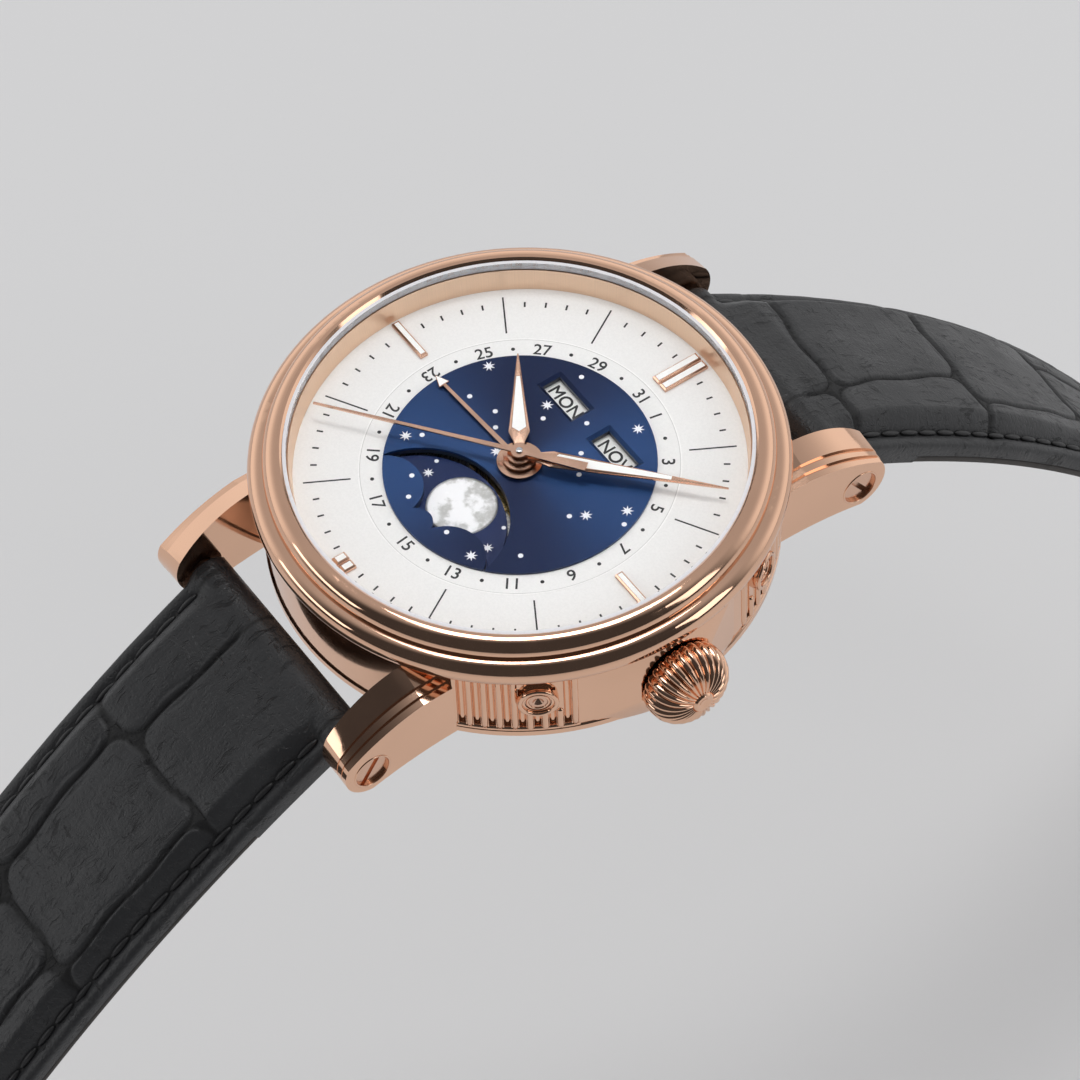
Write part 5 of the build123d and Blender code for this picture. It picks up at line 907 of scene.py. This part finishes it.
def moon_surface():
    """Grey-white moon: dark plains, pale rays and small craters, all from noise."""
    material, tree, shader = new_material("moon_surface", (0.72, 0.73, 0.76), 0.0, 0.5)
    place = object_coords(tree)
    plains = ramp(tree, noise(tree, scaled(tree, place, (460, 460, 0), (0.3, 1.1, 0)), 1.0, 4.0,
                              0.55), 0.46, 0.58)
    mottle = noise(tree, scaled(tree, place, (1800, 1800, 0)), 1.0, 5.0, 0.7)
    craters = add_node(tree, "ShaderNodeTexVoronoi", feature="F1")
    tree.links.new(scaled(tree, place, (1500, 1500, 0)), craters.inputs["Vector"])
    craters.inputs["Scale"].default_value = 1.0
    rim = ramp(tree, craters.outputs["Distance"], 0.08, 0.3)
    base = mix_colour(tree, plains, (0.88, 0.88, 0.89, 1.0), (0.47, 0.47, 0.455, 1.0))
    speckled = mix_colour(tree, ramp(tree, mottle, 0.4, 0.75, 0.0, 0.3), base,
                          (0.92, 0.93, 0.95, 1.0))
    tree.links.new(mix_colour(tree, ramp(tree, rim, 0.0, 1.0, 0.35, 0.0), speckled,
                              (0.97, 0.97, 0.98, 1.0)), shader.inputs["Base Color"])
    bump(tree, shader, math_node(tree, "ADD", mottle, rim), 0.4, 0.02)
    return material


def moon_face(centre):
    """A shallow domed disc that stands a hair proud of the moon disc's card."""
    rings, around = 10, 64
    dome, proud = 0.045, 0.002
    vertices = [(*centre, CARD_TOP + dome + proud)]
    faces = []
    for k in range(1, rings + 1):
        share = k / rings
        height = CARD_TOP + dome * math.sqrt(max(0.0, 1.0 - share ** 4)) + proud
        vertices += [(x, y, height) for x, y in circle(*centre, MOON_RADIUS * share, around)]
    for j in range(around):
        after = (j + 1) % around
        faces.append((0, 1 + j, 1 + after))
        for k in range(rings - 1):
            inner, outer = 1 + k * around, 1 + (k + 1) * around
            faces.append((inner + j, outer + j, outer + after, inner + after))
    outer = 1 + (rings - 1) * around
    faces.append([outer + j for j in reversed(range(around))])
    return vertices, faces


piece("moon_faces", *joined([moon_face(centre) for centre in MOON_FACES]), moon_surface(),
      "moon")

# Markers and hands
MARKER_TOP = 8.95
PAIR_OFFSET = 0.45              # from the middle of a doubled marker to each of its bars
INLAY = 0.014                   # how far a white inlay stands above its metal


def hour_marker_tops():
    """White tops set into the gold hour markers: pairs at twelve and six, single at the sides."""
    long_bar, short_bar = (13.02, 16.68), (15.52, 16.28)
    outlines = []
    for angle, offset, half, (low, high) in (
            (0, PAIR_OFFSET, 0.24, long_bar), (0, -PAIR_OFFSET, 0.24, long_bar),
            (90, 0.0, 0.19, long_bar), (270, 0.0, 0.19, long_bar),
            (180, PAIR_OFFSET, 0.24, short_bar), (180, -PAIR_OFFSET, 0.24, short_bar)):
        outlines.append([turned_point(p, angle)
                         for p in ((offset - half, low), (offset + half, low),
                                   (offset + half, high), (offset - half, high))])
    return outlines


flat_marks("marker_tops", hour_marker_tops(), lume_white, "watch", MARKER_TOP, INLAY)


def faceted_hand(name, angle, top, neck, widest, tip, inlay, rise, body):
    """Bevelled facets on a leaf hand, with a white inlay.

    neck, widest: (distance, half width); inlay: (start, corner, corner half, end, end half).
    """
    start, corner, corner_half, end, end_half = inlay
    high = top + rise
    ridge = end + (tip - end) * 0.22
    flat = [(-neck[1], neck[0], top), (-widest[1], widest[0], top), (0, tip, top),
            (widest[1], widest[0], top), (neck[1], neck[0], top),
            (0, start, high), (corner_half, corner, high), (end_half, end, high),
            (-end_half, end, high), (-corner_half, corner, high), (0, ridge, high + rise * 0.4)]
    faces = [(3, 2, 7), (2, 10, 7), (3, 7, 6), (4, 3, 6), (4, 6, 5), (0, 4, 5), (0, 5, 9),
             (0, 9, 1), (1, 9, 8), (1, 8, 2), (8, 10, 2), (7, 10, 8), (5, 6, 7, 8, 9),
             (0, 1, 2, 3, 4)]
    vertices = [(*turned_point((x, y), angle), z) for x, y, z in flat]
    piece(name + "_facets", vertices, faces, trim_gold, body, smooth=False)
    outline = [(0, start + 0.09), (corner_half - 0.07, corner + 0.07), (end_half - 0.03, end - 0.1),
               (-end_half + 0.03, end - 0.1), (-corner_half + 0.07, corner + 0.07)]
    outline = [turned_point(p, angle) for p in outline]
    piece(name + "_inlay", *prisms([outline], high - 0.02, high + INLAY), lume_white, body,
          smooth=False)


faceted_hand("hour_hand", angle=303.9, top=9.53, neck=(1.35, 0.37), widest=(2.4, 0.8), tip=10.0,
             inlay=(2.3, 2.72, 0.60, 7.8, 0.17), rise=0.09, body="hours")
faceted_hand("minute_hand", angle=47.8, top=9.91, neck=(1.1, 0.32), widest=(2.5, 0.75),
             tip=16.05, inlay=(2.5, 2.9, 0.55, 11.8, 0.20), rise=0.09, body="minutes")

DATE_HAND_ANGLE = 267.1
DATE_HAND_TOP = 9.15
date_tip = ((0.0, 10.46), (-0.40, 9.47), (0.40, 9.47))
flat_marks("date_hand_inlay", [[turned_point(p, DATE_HAND_ANGLE) for p in date_tip]],
           lume_white, "date", DATE_HAND_TOP, INLAY)

pin_steps = ((0.26, 10.28), (0.26, 10.40), (0.21, 10.45), (0.14, 10.46))
piece("hand_pin", *tube([[(x, y, height) for x, y in circle(0, 0, radius, 48)]
                         for radius, height in pin_steps]), steel, "seconds", smooth=False)

# Crown
CROWN_BACK = 20.3               # how far the crown's inner face lies from the dial's axis
CROWN_LENGTH = 3.3
CROWN_AXIS = 4.6                # height of its axis
CROWN_LOBES = 28
CROWN_RADIUS = 3.45


def crown_profile():
    """(along, radius) of the lobes' crests, from the back face over the shoulder to the cap."""
    widest, cap = 0.85, 0.95
    points = [(widest - widest * math.cos(t), CROWN_RADIUS - 0.45 * (1 - math.sin(t)))
              for t in (math.radians(k) for k in (0, 12, 26, 42, 60))]
    for k in range(19):
        turn = math.radians(5 * k)
        points.append((widest + (CROWN_LENGTH - widest) * math.sin(turn) ** 0.88,
                       cap + (CROWN_RADIUS - cap) * math.cos(turn)))
    return points


def crown_mesh():
    """Onion crown: round lobes with narrow grooves between, a plain back and a dimpled cap."""
    around = CROWN_LOBES * 14
    profile = crown_profile()
    rings = [(0.0, 0.8, 0.0, 0.0, 0.0), (0.0, 2.4, 0.0, 0.0, 0.0)]
    for k, (along, radius) in enumerate(profile):
        before, after = profile[max(k - 1, 0)], profile[min(k + 1, len(profile) - 1)]
        run, rise = after[0] - before[0], after[1] - before[1]
        reach = math.hypot(run, rise)
        depth = 0.34 * (radius / CROWN_RADIUS) ** 0.75 * min(1.0, 0.4 + along)
        rings.append((along, radius, depth, -rise / reach, run / reach))
    end = CROWN_LENGTH
    rings += [(end - 0.12, 0.92, 0.0, 0.0, 0.0), (end + 0.02, 0.86, 0.0, 0.0, 0.0),
              (end + 0.13, 0.78, 0.0, 0.0, 0.0), (end + 0.17, 0.66, 0.0, 0.0, 0.0),
              (end + 0.15, 0.52, 0.0, 0.0, 0.0), (end + 0.02, 0.34, 0.0, 0.0, 0.0),
              (end - 0.02, 0.14, 0.0, 0.0, 0.0)]
    sections = []
    for along, radius, depth, out_x, out_r in rings:
        section = []
        for j in range(around):
            turn = 2 * math.pi * j / around
            sunk = depth * (1 - abs(math.sin(turn * CROWN_LOBES / 2)) ** 0.8)
            reach = radius - sunk * out_r
            section.append((CROWN_BACK + max(along - sunk * out_x, 0.0), reach * math.cos(turn),
                            CROWN_AXIS + reach * math.sin(turn)))
        sections.append(section)
    return tube(sections)


# Fluted panels, rosettes and lug screws; the four corners of the case mirror each other
WALL = 19.6                     # radius of the case wall
PANEL_CENTRE = 36.3             # angles in degrees from the crown's axis
PANEL_FOOT, PANEL_TOP = 1.85, 8.15
FLUTE_PITCH = 3.3
FLUTES = 8
HALF_PANEL = FLUTE_PITCH * FLUTES / 2 + 1.0
RIB_HALF_WIDTH, RIB_RISE = 0.30, 0.34
ROSETTE_ANGLE, ROSETTE_HEIGHT = 31.1, 5.7
BACK_FOOT = ROSETTE_HEIGHT + 1.3
BAR_Y, BAR_Z = 22.4, 2.2        # the lug bars' axis
corners = {"2h": (1, 1), "4h": (1, -1), "8h": (-1, -1), "10h": (-1, 1)}


def flute_ribs():
    """Rounded ribs that stand between the case's flutes, cut short below each rosette."""
    arc = [math.radians(k) for k in range(0, 181, 20)]
    ribs = []
    for sx, sy in corners.values():
        for k in range(FLUTES + 1):
            angle = PANEL_CENTRE + (k - FLUTES / 2) * FLUTE_PITCH
            sideways = abs(math.radians(angle - ROSETTE_ANGLE)) * WALL
            top = PANEL_TOP if sideways > 1.75 else ROSETTE_HEIGHT - 1.5
            sections = []
            for share in (0.0, 0.03, 0.09, 0.18, 0.5, 0.82, 0.91, 0.97, 1.0):
                z = PANEL_FOOT + (top - PANEL_FOOT) * share
                size = math.sqrt(max(0.02, 1 - (abs(share - 0.5) * 2) ** 14))
                ring = []
                for t in arc:
                    out = WALL - 0.12 + RIB_RISE * size * math.sin(t)
                    turn = math.radians(angle) + RIB_HALF_WIDTH * size * math.cos(t) / WALL
                    ring.append((sx * out * math.cos(turn), sy * out * math.sin(turn), z))
                sections.append(ring)
            ribs.append(tube(sections))
    return joined(ribs)


def ring_facing(centre, turn, major, minor, around=48, small=10):
    """A round-section ring that stands upright and faces a horizontal direction."""
    sections = []
    for j in range(around):
        a = 2 * math.pi * j / around
        section = []
        for k in range(small):
            b = 2 * math.pi * k / small
            reach = major + minor * math.cos(b)
            side, up, deep = reach * math.cos(a), reach * math.sin(a), minor * math.sin(b)
            section.append((centre[0] + deep * math.cos(turn) - side * math.sin(turn),
                            centre[1] + deep * math.sin(turn) + side * math.cos(turn),
                            centre[2] + up))
        sections.append(section)
    return ring_skin(sections)


def rosette_ring(sx, sy, out, major, minor):
    """A ring round a corrector, flat against the case wall."""
    turn = math.atan2(sy * math.sin(math.radians(ROSETTE_ANGLE)),
                      sx * math.cos(math.radians(ROSETTE_ANGLE)))
    return ring_facing((out * math.cos(turn), out * math.sin(turn), ROSETTE_HEIGHT), turn, major,
                       minor)


def wall_strip(sx, sy, begin, end, outline):
    """A strip bent round the case wall between two angles; outline: (radius, height)."""
    sections = []
    for k in range(17):
        turn = math.radians(begin + (end - begin) * k / 16)
        sections.append([(sx * r * math.cos(turn), sy * r * math.sin(turn), z)
                         for r, z in outline])
    return tube(sections)


sill = [(WALL - 0.16 + 0.27 * math.cos(math.pi * k / 6),
         PANEL_FOOT + 0.01 + 0.27 * math.sin(math.pi * k / 6)) for k in range(12)]
back = [(WALL - 0.6, BACK_FOOT), (WALL + 0.03, BACK_FOOT), (WALL + 0.03, 8.24),
        (WALL - 0.6, 8.24)]
piece("rosette_rims", *joined([rosette_ring(sx, sy, 20.02, 1.36, 0.20)
                               for sx, sy in corners.values()]), case_gold, "watch")
for hour, (sx, sy) in corners.items():
    piece("corrector_ring_" + hour, *rosette_ring(sx, sy, 19.88, 0.80, 0.12), case_gold,
          "pusher_" + hour)
piece("lug_screw_rims", *joined([ring_facing((sx * 12.88, sy * BAR_Y, BAR_Z), 0.0, 1.52, 0.09)
                                 for sx, sy in corners.values()]), case_gold, "watch")
crown_lobes = piece("fluted_crown", *crown_mesh(), case_gold, "crown_knob", slot="case_gold")
sharpen(crown_lobes, 32)
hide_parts("crown")
piece("flute_ribs", *flute_ribs(), case_gold, "watch")
piece("flute_sills", *joined([wall_strip(sx, sy, PANEL_CENTRE - HALF_PANEL,
                                         PANEL_CENTRE + HALF_PANEL, sill)
                              for sx, sy in corners.values()]), case_gold, "watch")
backs = piece("rosette_backs", *joined([wall_strip(sx, sy, ROSETTE_ANGLE - 5.1,
                                                   ROSETTE_ANGLE + 5.1, back)
                                        for sx, sy in corners.values()]), case_gold, "watch")
sharpen(backs, 50)

# Strap
LOOP = 1.75                     # outer radius of the strap's end round a lug bar
BAR_BORE, BUCKLE_BORE = 0.95, 0.8
HALF_WIDTH, END_HALF_WIDTH = 9.7, 8.0
RIM, END_RIM = 1.05, 0.9        # height of the strap's edge above its middle
FLOOR, END_FLOOR = 0.8, 0.75    # depth of its underside below its middle
LINING = 0.6
LINING_START = 10.0
PAD_RISE = 2.45                 # height of the padding, and how it falls along the strap
PAD_PLACES = (0.0, 0.045, 0.12, 0.3, 0.55, 0.8, 1.0)
PAD_SHARES = (0.6, 0.92, 1.0, 0.94, 0.62, 0.42, 0.4)
BUCKLE_LOOP = 1.6
TIP_LENGTH = 11.0
HOLE_RADIUS, HOLE_PITCH, HOLES, FIRST_HOLE = 0.95, 6.5, 7, 24.0
SEAM = 1.4                      # how far the stitching lies from the strap's edge
ROW_STEP = {1: 0.2, -1: 0.25}   # spacing of the modelled rows on each half


class StrapHalf:
    """One half of the strap: where its middle runs and how wide and high it is.

    turns: how far each equal part of it bends; creases: the furrows across it as (place, tilt);
    columns: the furrows along it between two creases, as (place at one, place at the other).
    """

    def __init__(self, side, length, start, turns, creases, columns):
        self.side = side
        self.length = length
        self.creases = creases
        self.columns = columns
        count = int(length * 4)
        step = length / count
        span = length / len(turns)
        line = [(0.0, BAR_Y, BAR_Z, math.radians(start))]
        for _ in range(count):
            v, y, z, slope = line[-1]
            part = min(int((v + step / 2) / span), len(turns) - 1)
            turn = math.radians(turns[part] * step / span)
            middle = slope + turn / 2
            line.append((v + step, y + step * math.cos(middle), z - step * math.sin(middle),
                         slope + turn))
        self.line = np.array(line)

    def width(self, v):
        """Half width, with the rounded tip on the half that has one."""
        share = np.clip(v / self.length, 0.0, 1.0)
        plain = HALF_WIDTH + (END_HALF_WIDTH - HALF_WIDTH) * share
        if self.side > 0:
            return plain
        tip = np.clip((v - (self.length - TIP_LENGTH)) / TIP_LENGTH, 0.0, 1.0)
        return plain * np.sqrt(np.clip(1.0 - tip ** 2.15, 0.0, 1.0))

    def place(self, x, v, rise):
        """World points in mm from places across, along and above the strap's middle."""
        inside = np.clip(v, 0.0, self.length)
        over = v - inside
        y, z, slope = (np.interp(inside, self.line[:, 0], self.line[:, k]) for k in (1, 2, 3))
        y = y + over * np.cos(slope) + rise * np.sin(slope)
        z = z - over * np.sin(slope) + rise * np.cos(slope)
        return np.stack([x + 0 * y, self.side * y, z], -1)

    def crease_at(self, k, x):
        """Where a furrow across the strap runs, a little wavy."""
        middle, tilt = self.creases[k]
        return middle + tilt * x + 0.22 * np.sin(0.9 * x + 2.1 * k)

    def scale_edge(self, x, v):
        """Distance inwards from the edge of the rounded scale that a point lies on."""
        corner = 1.5
        best = np.full(x.shape, 9.0)
        for k in range(len(self.creases) + 1):
            low = self.crease_at(k - 1, x) if k > 0 else np.full(x.shape, -9.0)
            high = (self.crease_at(k, x) if k < len(self.creases)
                    else np.full(x.shape, self.length + 9.0))
            here = (v >= low) & (v < high)
            along = np.minimum(v - low, high - v) - 0.18
            across = np.full(x.shape, 9.0)
            for begin, end in self.columns[k]:
                share = np.clip((v - low) / np.maximum(high - low, 1e-6), 0.0, 1.0)
                split = begin + (end - begin) * share + 0.12 * np.sin(0.8 * v + begin)
                across = np.minimum(across, np.abs(x - split) - 0.03)
            inner = np.minimum(along, across)
            rounded = corner - np.hypot(np.maximum(corner - along, 0.0),
                                        np.maximum(corner - across, 0.0))
            edge = np.where((along < corner) | (across < corner), rounded, inner)
            best = np.where(here, edge, best)
        return best

    def top(self, x, v):
        """Height of the upper leather above the strap's middle."""
        share = np.clip(v / self.length, 0.0, 1.0)
        width = self.width(v)
        edge = np.maximum(width - np.abs(x), 0.0)
        rim = RIM + (END_RIM - RIM) * share
        pad = PAD_RISE * np.interp(share, PAD_PLACES, PAD_SHARES)
        climb = np.clip((edge - SEAM + 0.35) / 2.0, 0.0, 1.0)
        climb = climb * climb * (3 - 2 * climb)
        height = rim + (pad - rim) * climb
        # A bead along the edge, and the seam's hollow
        height += 0.10 * np.exp(-((edge - 0.62) / 0.34) ** 2)
        height -= 0.26 * np.exp(-((edge - SEAM) / 0.27) ** 2)
        # Furrows between the scales, a faint one beside each, and each scale's swell
        inward = self.scale_edge(x, v)
        groove = np.where(inward < 0, 0.72 + 0.28 * np.cos(np.minimum(-inward, 0.3) * 10.0),
                          np.exp(-(np.maximum(inward, 0.0) / 0.17) ** 2))
        calm = np.clip((edge - 0.5) / 1.6, 0.15, 1.0)
        height -= 0.27 * groove * calm
        beside = 0.55 + 0.16 * np.sin(1.3 * v + 0.7 * x)
        faint = 0.5 + 0.5 * np.sin(0.8 * x - 0.5 * v + 1.0)
        height -= 0.07 * faint * np.exp(-((inward - beside) / 0.15) ** 2) * calm
        height += 0.16 * (1.0 - np.exp(-np.maximum(inward, 0.0) / 1.3)) * calm
        height += 0.02 * np.sin(1.7 * x + 0.6 * v) * np.sin(0.9 * v - 0.7 * x)
        # The leather's way round the lug bar and, on the short half, the buckle's bar
        loop = np.sqrt(np.maximum(LOOP * LOOP - v * v, 0.0))
        height = np.where(v < 0, 0.0, height)
        height = 0.5 * (height + loop + np.sqrt((height - loop) ** 2 + 0.10 * np.clip(v, 0, 1)))
        if self.side > 0:
            turn = np.sqrt(np.maximum(BUCKLE_LOOP ** 2 - (v - self.length) ** 2, 0.0))
            height = np.where(v > self.length, turn, np.maximum(height, turn))
        corner = 0.35
        fall = corner - np.sqrt(np.maximum(corner ** 2 - np.maximum(corner - edge, 0.0) ** 2, 0.0))
        return height - np.minimum(fall, np.maximum(height, 0.0) * 0.8)

    def under(self, v, lined):
        """Underside of the upper leather, above its middle; lined where the lining runs."""
        share = np.clip(v / self.length, 0.0, 1.0)
        drop = FLOOR + (END_FLOOR - FLOOR) * share
        if lined:
            drop = drop - LINING
        drop = np.where(v < 0, 0.0, drop)
        drop = np.maximum(drop, np.sqrt(np.maximum(LOOP * LOOP - v * v, 0.0)))
        if self.side > 0:
            turn = np.sqrt(np.maximum(BUCKLE_LOOP ** 2 - (v - self.length) ** 2, 0.0))
            drop = np.where(v > self.length, turn, np.maximum(drop, turn))
        return -drop


def across_places(width):
    """Places from one edge of the strap to the other, close together near the edges."""
    close = np.array((0.0, 0.025, 0.09, 0.19, 0.33, 0.48, 0.62, 0.78, 0.95, 1.1, 1.25, 1.4, 1.55,
                      1.7, 1.86))
    scale = np.minimum(1.0, width / 2.5)
    left = -width + close * scale
    right = width - close[::-1] * scale
    middle = np.linspace(left[-1], right[0], 124)[1:-1]
    return np.concatenate([left, middle, right])


def strap_skin(half, rows):
    """Sections of a strap half from its case end outwards, and how strongly each point lies in a
    furrow, which sets its painted shade.
    """
    sections, furrows = [], []
    for v, lined in rows:
        width = float(half.width(np.array(v)))
        x = across_places(width)
        vv = np.full(x.shape, v)
        top = half.top(x, vv)
        under = float(half.under(np.array(v), lined))
        low = under + min(0.12, (float(top[0]) - under) * 0.3)
        upper = half.place(x, vv, top)
        walls = np.array([width, width - 0.1])
        back = np.linspace(width - 0.3, -width + 0.3, 12)
        right = half.place(walls, np.full(2, v), np.array([low, under]))
        floor_line = half.place(back, np.full(12, v), np.full(12, under))
        left = half.place(-walls[::-1], np.full(2, v), np.array([under, low]))
        sections.append(np.concatenate([upper, right, floor_line, left]))
        inward = np.maximum(half.scale_edge(x, vv), 0.0)
        edge = width - np.abs(x)
        # Painted shade share: strongest in the grooves between the scales and in the seam's hollow
        furrow = 0.9 * np.exp(-(inward / 0.13) ** 2) * np.clip((edge - 0.4) / 1.6, 0.25, 1.0)
        furrow = np.maximum(furrow, 0.8 * np.exp(-((edge - SEAM) / 0.22) ** 2))
        furrows += list(furrow) + [0.0] * 16
    return sections, furrows


def rows_of(half, lining_end):
    """Distances along a half at which its section is drawn, and whether it is lined there."""
    rows = [(-LOOP * math.cos(t * math.pi / 2), False) for t in (0.06, 0.14, 0.24, 0.36, 0.5, 0.66,
                                                                 0.84)]
    end = half.length - (0.15 if half.side < 0 else 0.0)
    count = int(end / ROW_STEP[half.side])
    for k in range(count + 1):
        v = end * k / count
        lined = LINING_START < v < lining_end
        for edge in (LINING_START, lining_end):
            if rows[-1][0] < edge <= v:
                was = rows[-1][1]
                rows += [(edge - 0.01, was), (edge + 0.01, not was)]
        rows.append((v, lined))
    if half.side > 0:
        rows += [(half.length + BUCKLE_LOOP * math.sin(t * math.pi / 2), False)
                 for t in (0.16, 0.34, 0.5, 0.64, 0.76, 0.86, 0.94)]
    else:
        rows += [(half.length - d, True) for d in (0.1, 0.06, 0.03, 0.012)]
    return rows


def cut_away(item, tools):
    """Take shapes out of a piece, then forget them."""
    for tool in tools:
        modifier = item.modifiers.new("cut", "BOOLEAN")
        modifier.object = tool
        modifier.operation = "DIFFERENCE"
        modifier.solver = "MANIFOLD"
    settle(item)
    for tool in tools:
        bpy.data.objects.remove(tool)


def cross_rod(half, v, radius, reach=12.0, around=32):
    """A rod across the strap, at a distance along it, for cutting a bar's bore."""
    y, z = half.place(np.array(0.0), np.array(v), np.array(0.0))[1:]
    sections = [[(x, y + radius * math.cos(2 * math.pi * j / around),
                  z + radius * math.sin(2 * math.pi * j / around)) for j in range(around)]
                for x in (reach, -reach)]
    return new_object("tool", *tube(sections))


def strap_punch(half, v, radius, around=24):
    """A punch square to the strap, for a buckle hole."""
    turns = np.linspace(0, 2 * math.pi, around, endpoint=False)
    sections = [half.place(radius * np.cos(turns), v + radius * np.sin(turns) * half.side,
                           np.full(around, rise)) for rise in (6.0, -6.0)]
    return new_object("tool", *tube(sections))


def buckle_holes(half):
    """Punches for the row of buckle holes."""
    return [strap_punch(half, half.length - FIRST_HOLE - HOLE_PITCH * k, HOLE_RADIUS)
            for k in range(HOLES)]


def strap_slot(half, low, high, reach):
    """A slot's block, through the strap's thickness."""
    sections = []
    for rise in (6.0, -6.0):
        sections.append([tuple(half.place(np.array(x), np.array(v), np.array(rise)))
                         for x, v in ((-reach, low), (reach, low), (reach, high), (-reach, high))])
    return new_object("tool", *tube(sections))


def lining_skin(half, first, last):
    """The lining: a thin leather with rounded edges, a hair narrower than the strap."""
    sections = []
    count = int((last - first) / 0.5)
    for k in range(count + 1):
        v = first + (last - first) * k / count
        width = float(half.width(np.array(v))) - 0.06
        share = min(max(v / half.length, 0.0), 1.0)
        low = -(FLOOR + (END_FLOOR - FLOOR) * share)
        high = low + LINING - 0.015
        soft = min(0.14, width * 0.4)
        line = [(-width, low + soft), (-width, high - soft), (-width + soft, high)]
        line += [(x, high) for x in np.linspace(-width + 2 * soft, width - 2 * soft, 14)]
        line += [(width - soft, high), (width, high - soft), (width, low + soft),
                 (width - soft, low)]
        line += [(x, low) for x in np.linspace(width - 2 * soft, -width + 2 * soft, 14)]
        line += [(-width + soft, low)]
        sections.append([tuple(half.place(np.array(x), np.array(v), np.array(rise)))
                         for x, rise in line])
    return sections


short_half = StrapHalf(
    1, 75.0, 33.2, (7.2, 8.4, 8.6, 9.0),
    ((4.4, -0.15), (21.5, -0.168), (38.9, -0.10), (51.0, 0.06), (62.0, -0.04)),
    (((4.1, 3.9),), ((3.6, 1.8),), ((5.1, 3.5),), ((-4.4, -4.0), (3.4, 3.8)),
     ((-1.0, -0.7),), ((-4.2, -4.2), (3.0, 2.8))))
long_half = StrapHalf(
    -1, 115.0, 27.6, (12.6, 12.0, 12.0, 12.0),
    ((12.1, -0.045), (27.3, 0.07), (43.0, 0.03), (57.0, -0.06), (70.0, 0.05), (82.0, -0.04),
     (93.5, 0.03)),
    (((-2.7, -2.4),), ((-4.2, -3.6), (6.4, 6.2)), ((-2.4, -2.9), (4.6, 4.4)),
     ((-4.6, -4.2), (1.6, 1.2)), ((-1.6, -1.9), (4.4, 4.0)), ((-4.4, -4.0), (0.9, 1.1)),
     ((-2.0, -2.2), (3.4, 3.1)), ((0.2, 0.1),)))

for name, half, node, body, lining_end in (
        ("strap_upper_12", short_half, "strap_short", "strap_12", 65.0),
        ("strap_upper_6", long_half, "strap_long", "strap_6", 200.0)):
    rows = rows_of(half, lining_end)
    sections, furrows = strap_skin(half, rows)
    made = piece(name, *tube(sections), strap_leather, body, slot="black_leather")
    # The furrows' painted shade share, read by the leather material
    store = made.data.attributes.new("crease", "FLOAT", "POINT")
    store.data.foreach_set("value", furrows)
    lining_stop = min(lining_end, half.length - 0.3)
    lining = piece(name.replace("upper", "lining"),
                   *tube(lining_skin(half, LINING_START, lining_stop)), lining_leather, body,
                   slot="lining_leather")
    tools = [cross_rod(half, 0.0, BAR_BORE)]
    if half.side > 0:
        tools += [cross_rod(half, half.length, BUCKLE_BORE), strap_slot(half, 69.1, 80.0, 1.55)]
    else:
        tools += buckle_holes(half)
        cut_away(lining, buckle_holes(half))
    cut_away(made, tools)
    sharpen(made, 50)
    sharpen(lining, 50)
    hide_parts(node)
    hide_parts(node + "_lining")


def seam_line(half, begin, end, sign):
    """Points along the stitching on one side of a strap half."""
    points = []
    count = int((end - begin) / 0.5)
    for k in range(count + 1):
        v = np.array(begin + (end - begin) * k / count)
        x = sign * (half.width(v) - SEAM)
        rise = half.top(np.array(x), v) + 0.14
        points.append(tuple(half.place(x, v, rise)))
    return points


for name, half, body, begin, end in (("stitches_12", short_half, "strap_12", 2.5, 72.0),
                                     ("stitches_6", long_half, "strap_6", 2.5, 112.5)):
    vertices, edges = [], []
    for sign in (1, -1):
        line = seam_line(half, begin, end, sign)
        start = len(vertices)
        vertices += line
        edges += [(start + k, start + k + 1) for k in range(len(line) - 1)]
    grown(name, stitch_nodes, {"Pitch": 2.3 * MM, "Length": 2.15 * MM, "Thread": 0.52 * MM,
                               "Finish": thread}, body, vertices=vertices, edges=edges, smooth=True)


def keeper_band(half, centre, gap, width=4.2, room=3.4, play=0.3, corner=0.9):
    """A leather loop round the strap, rounded on its outside."""
    share = centre / half.length
    reach = float(half.width(np.array(centre))) + play
    low = -(FLOOR + (END_FLOOR - FLOOR) * share) - gap
    side, top, bottom = reach - corner, room - corner, low + corner
    profile = [(-0.5, 0.06), (-0.47, 0.0), (0.47, 0.0), (0.5, 0.06), (0.5, 0.55), (0.47, 0.72),
               (0.40, 0.82), (0.2, 0.88), (0.0, 0.9), (-0.2, 0.88), (-0.40, 0.82), (-0.47, 0.72),
               (-0.5, 0.55)]
    sections = []
    for cx, cz, start in ((side, top, 0.0), (-side, top, 90.0), (-side, bottom, 180.0),
                          (side, bottom, 270.0)):
        for k in range(9):
            turn = math.radians(start + 90.0 * k / 8)
            sections.append([half.place(np.array(cx + math.cos(turn) * (corner + out)),
                                        np.array(centre + along * width),
                                        np.array(cz + math.sin(turn) * (corner + out)))
                             for along, out in profile])
    return ring_skin(sections)


for name, centre, gap, body, node in (("keeper_fixed", 67.0, 0.02, "strap_12", "fixed_keeper"),
                                      ("keeper_free", 60.0, 0.24, "loose_keeper", "free_keeper")):
    band = piece(name, *keeper_band(short_half, centre, gap), strap_leather, body,
                 slot="black_leather")
    sharpen(band, 50)
    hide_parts(node)
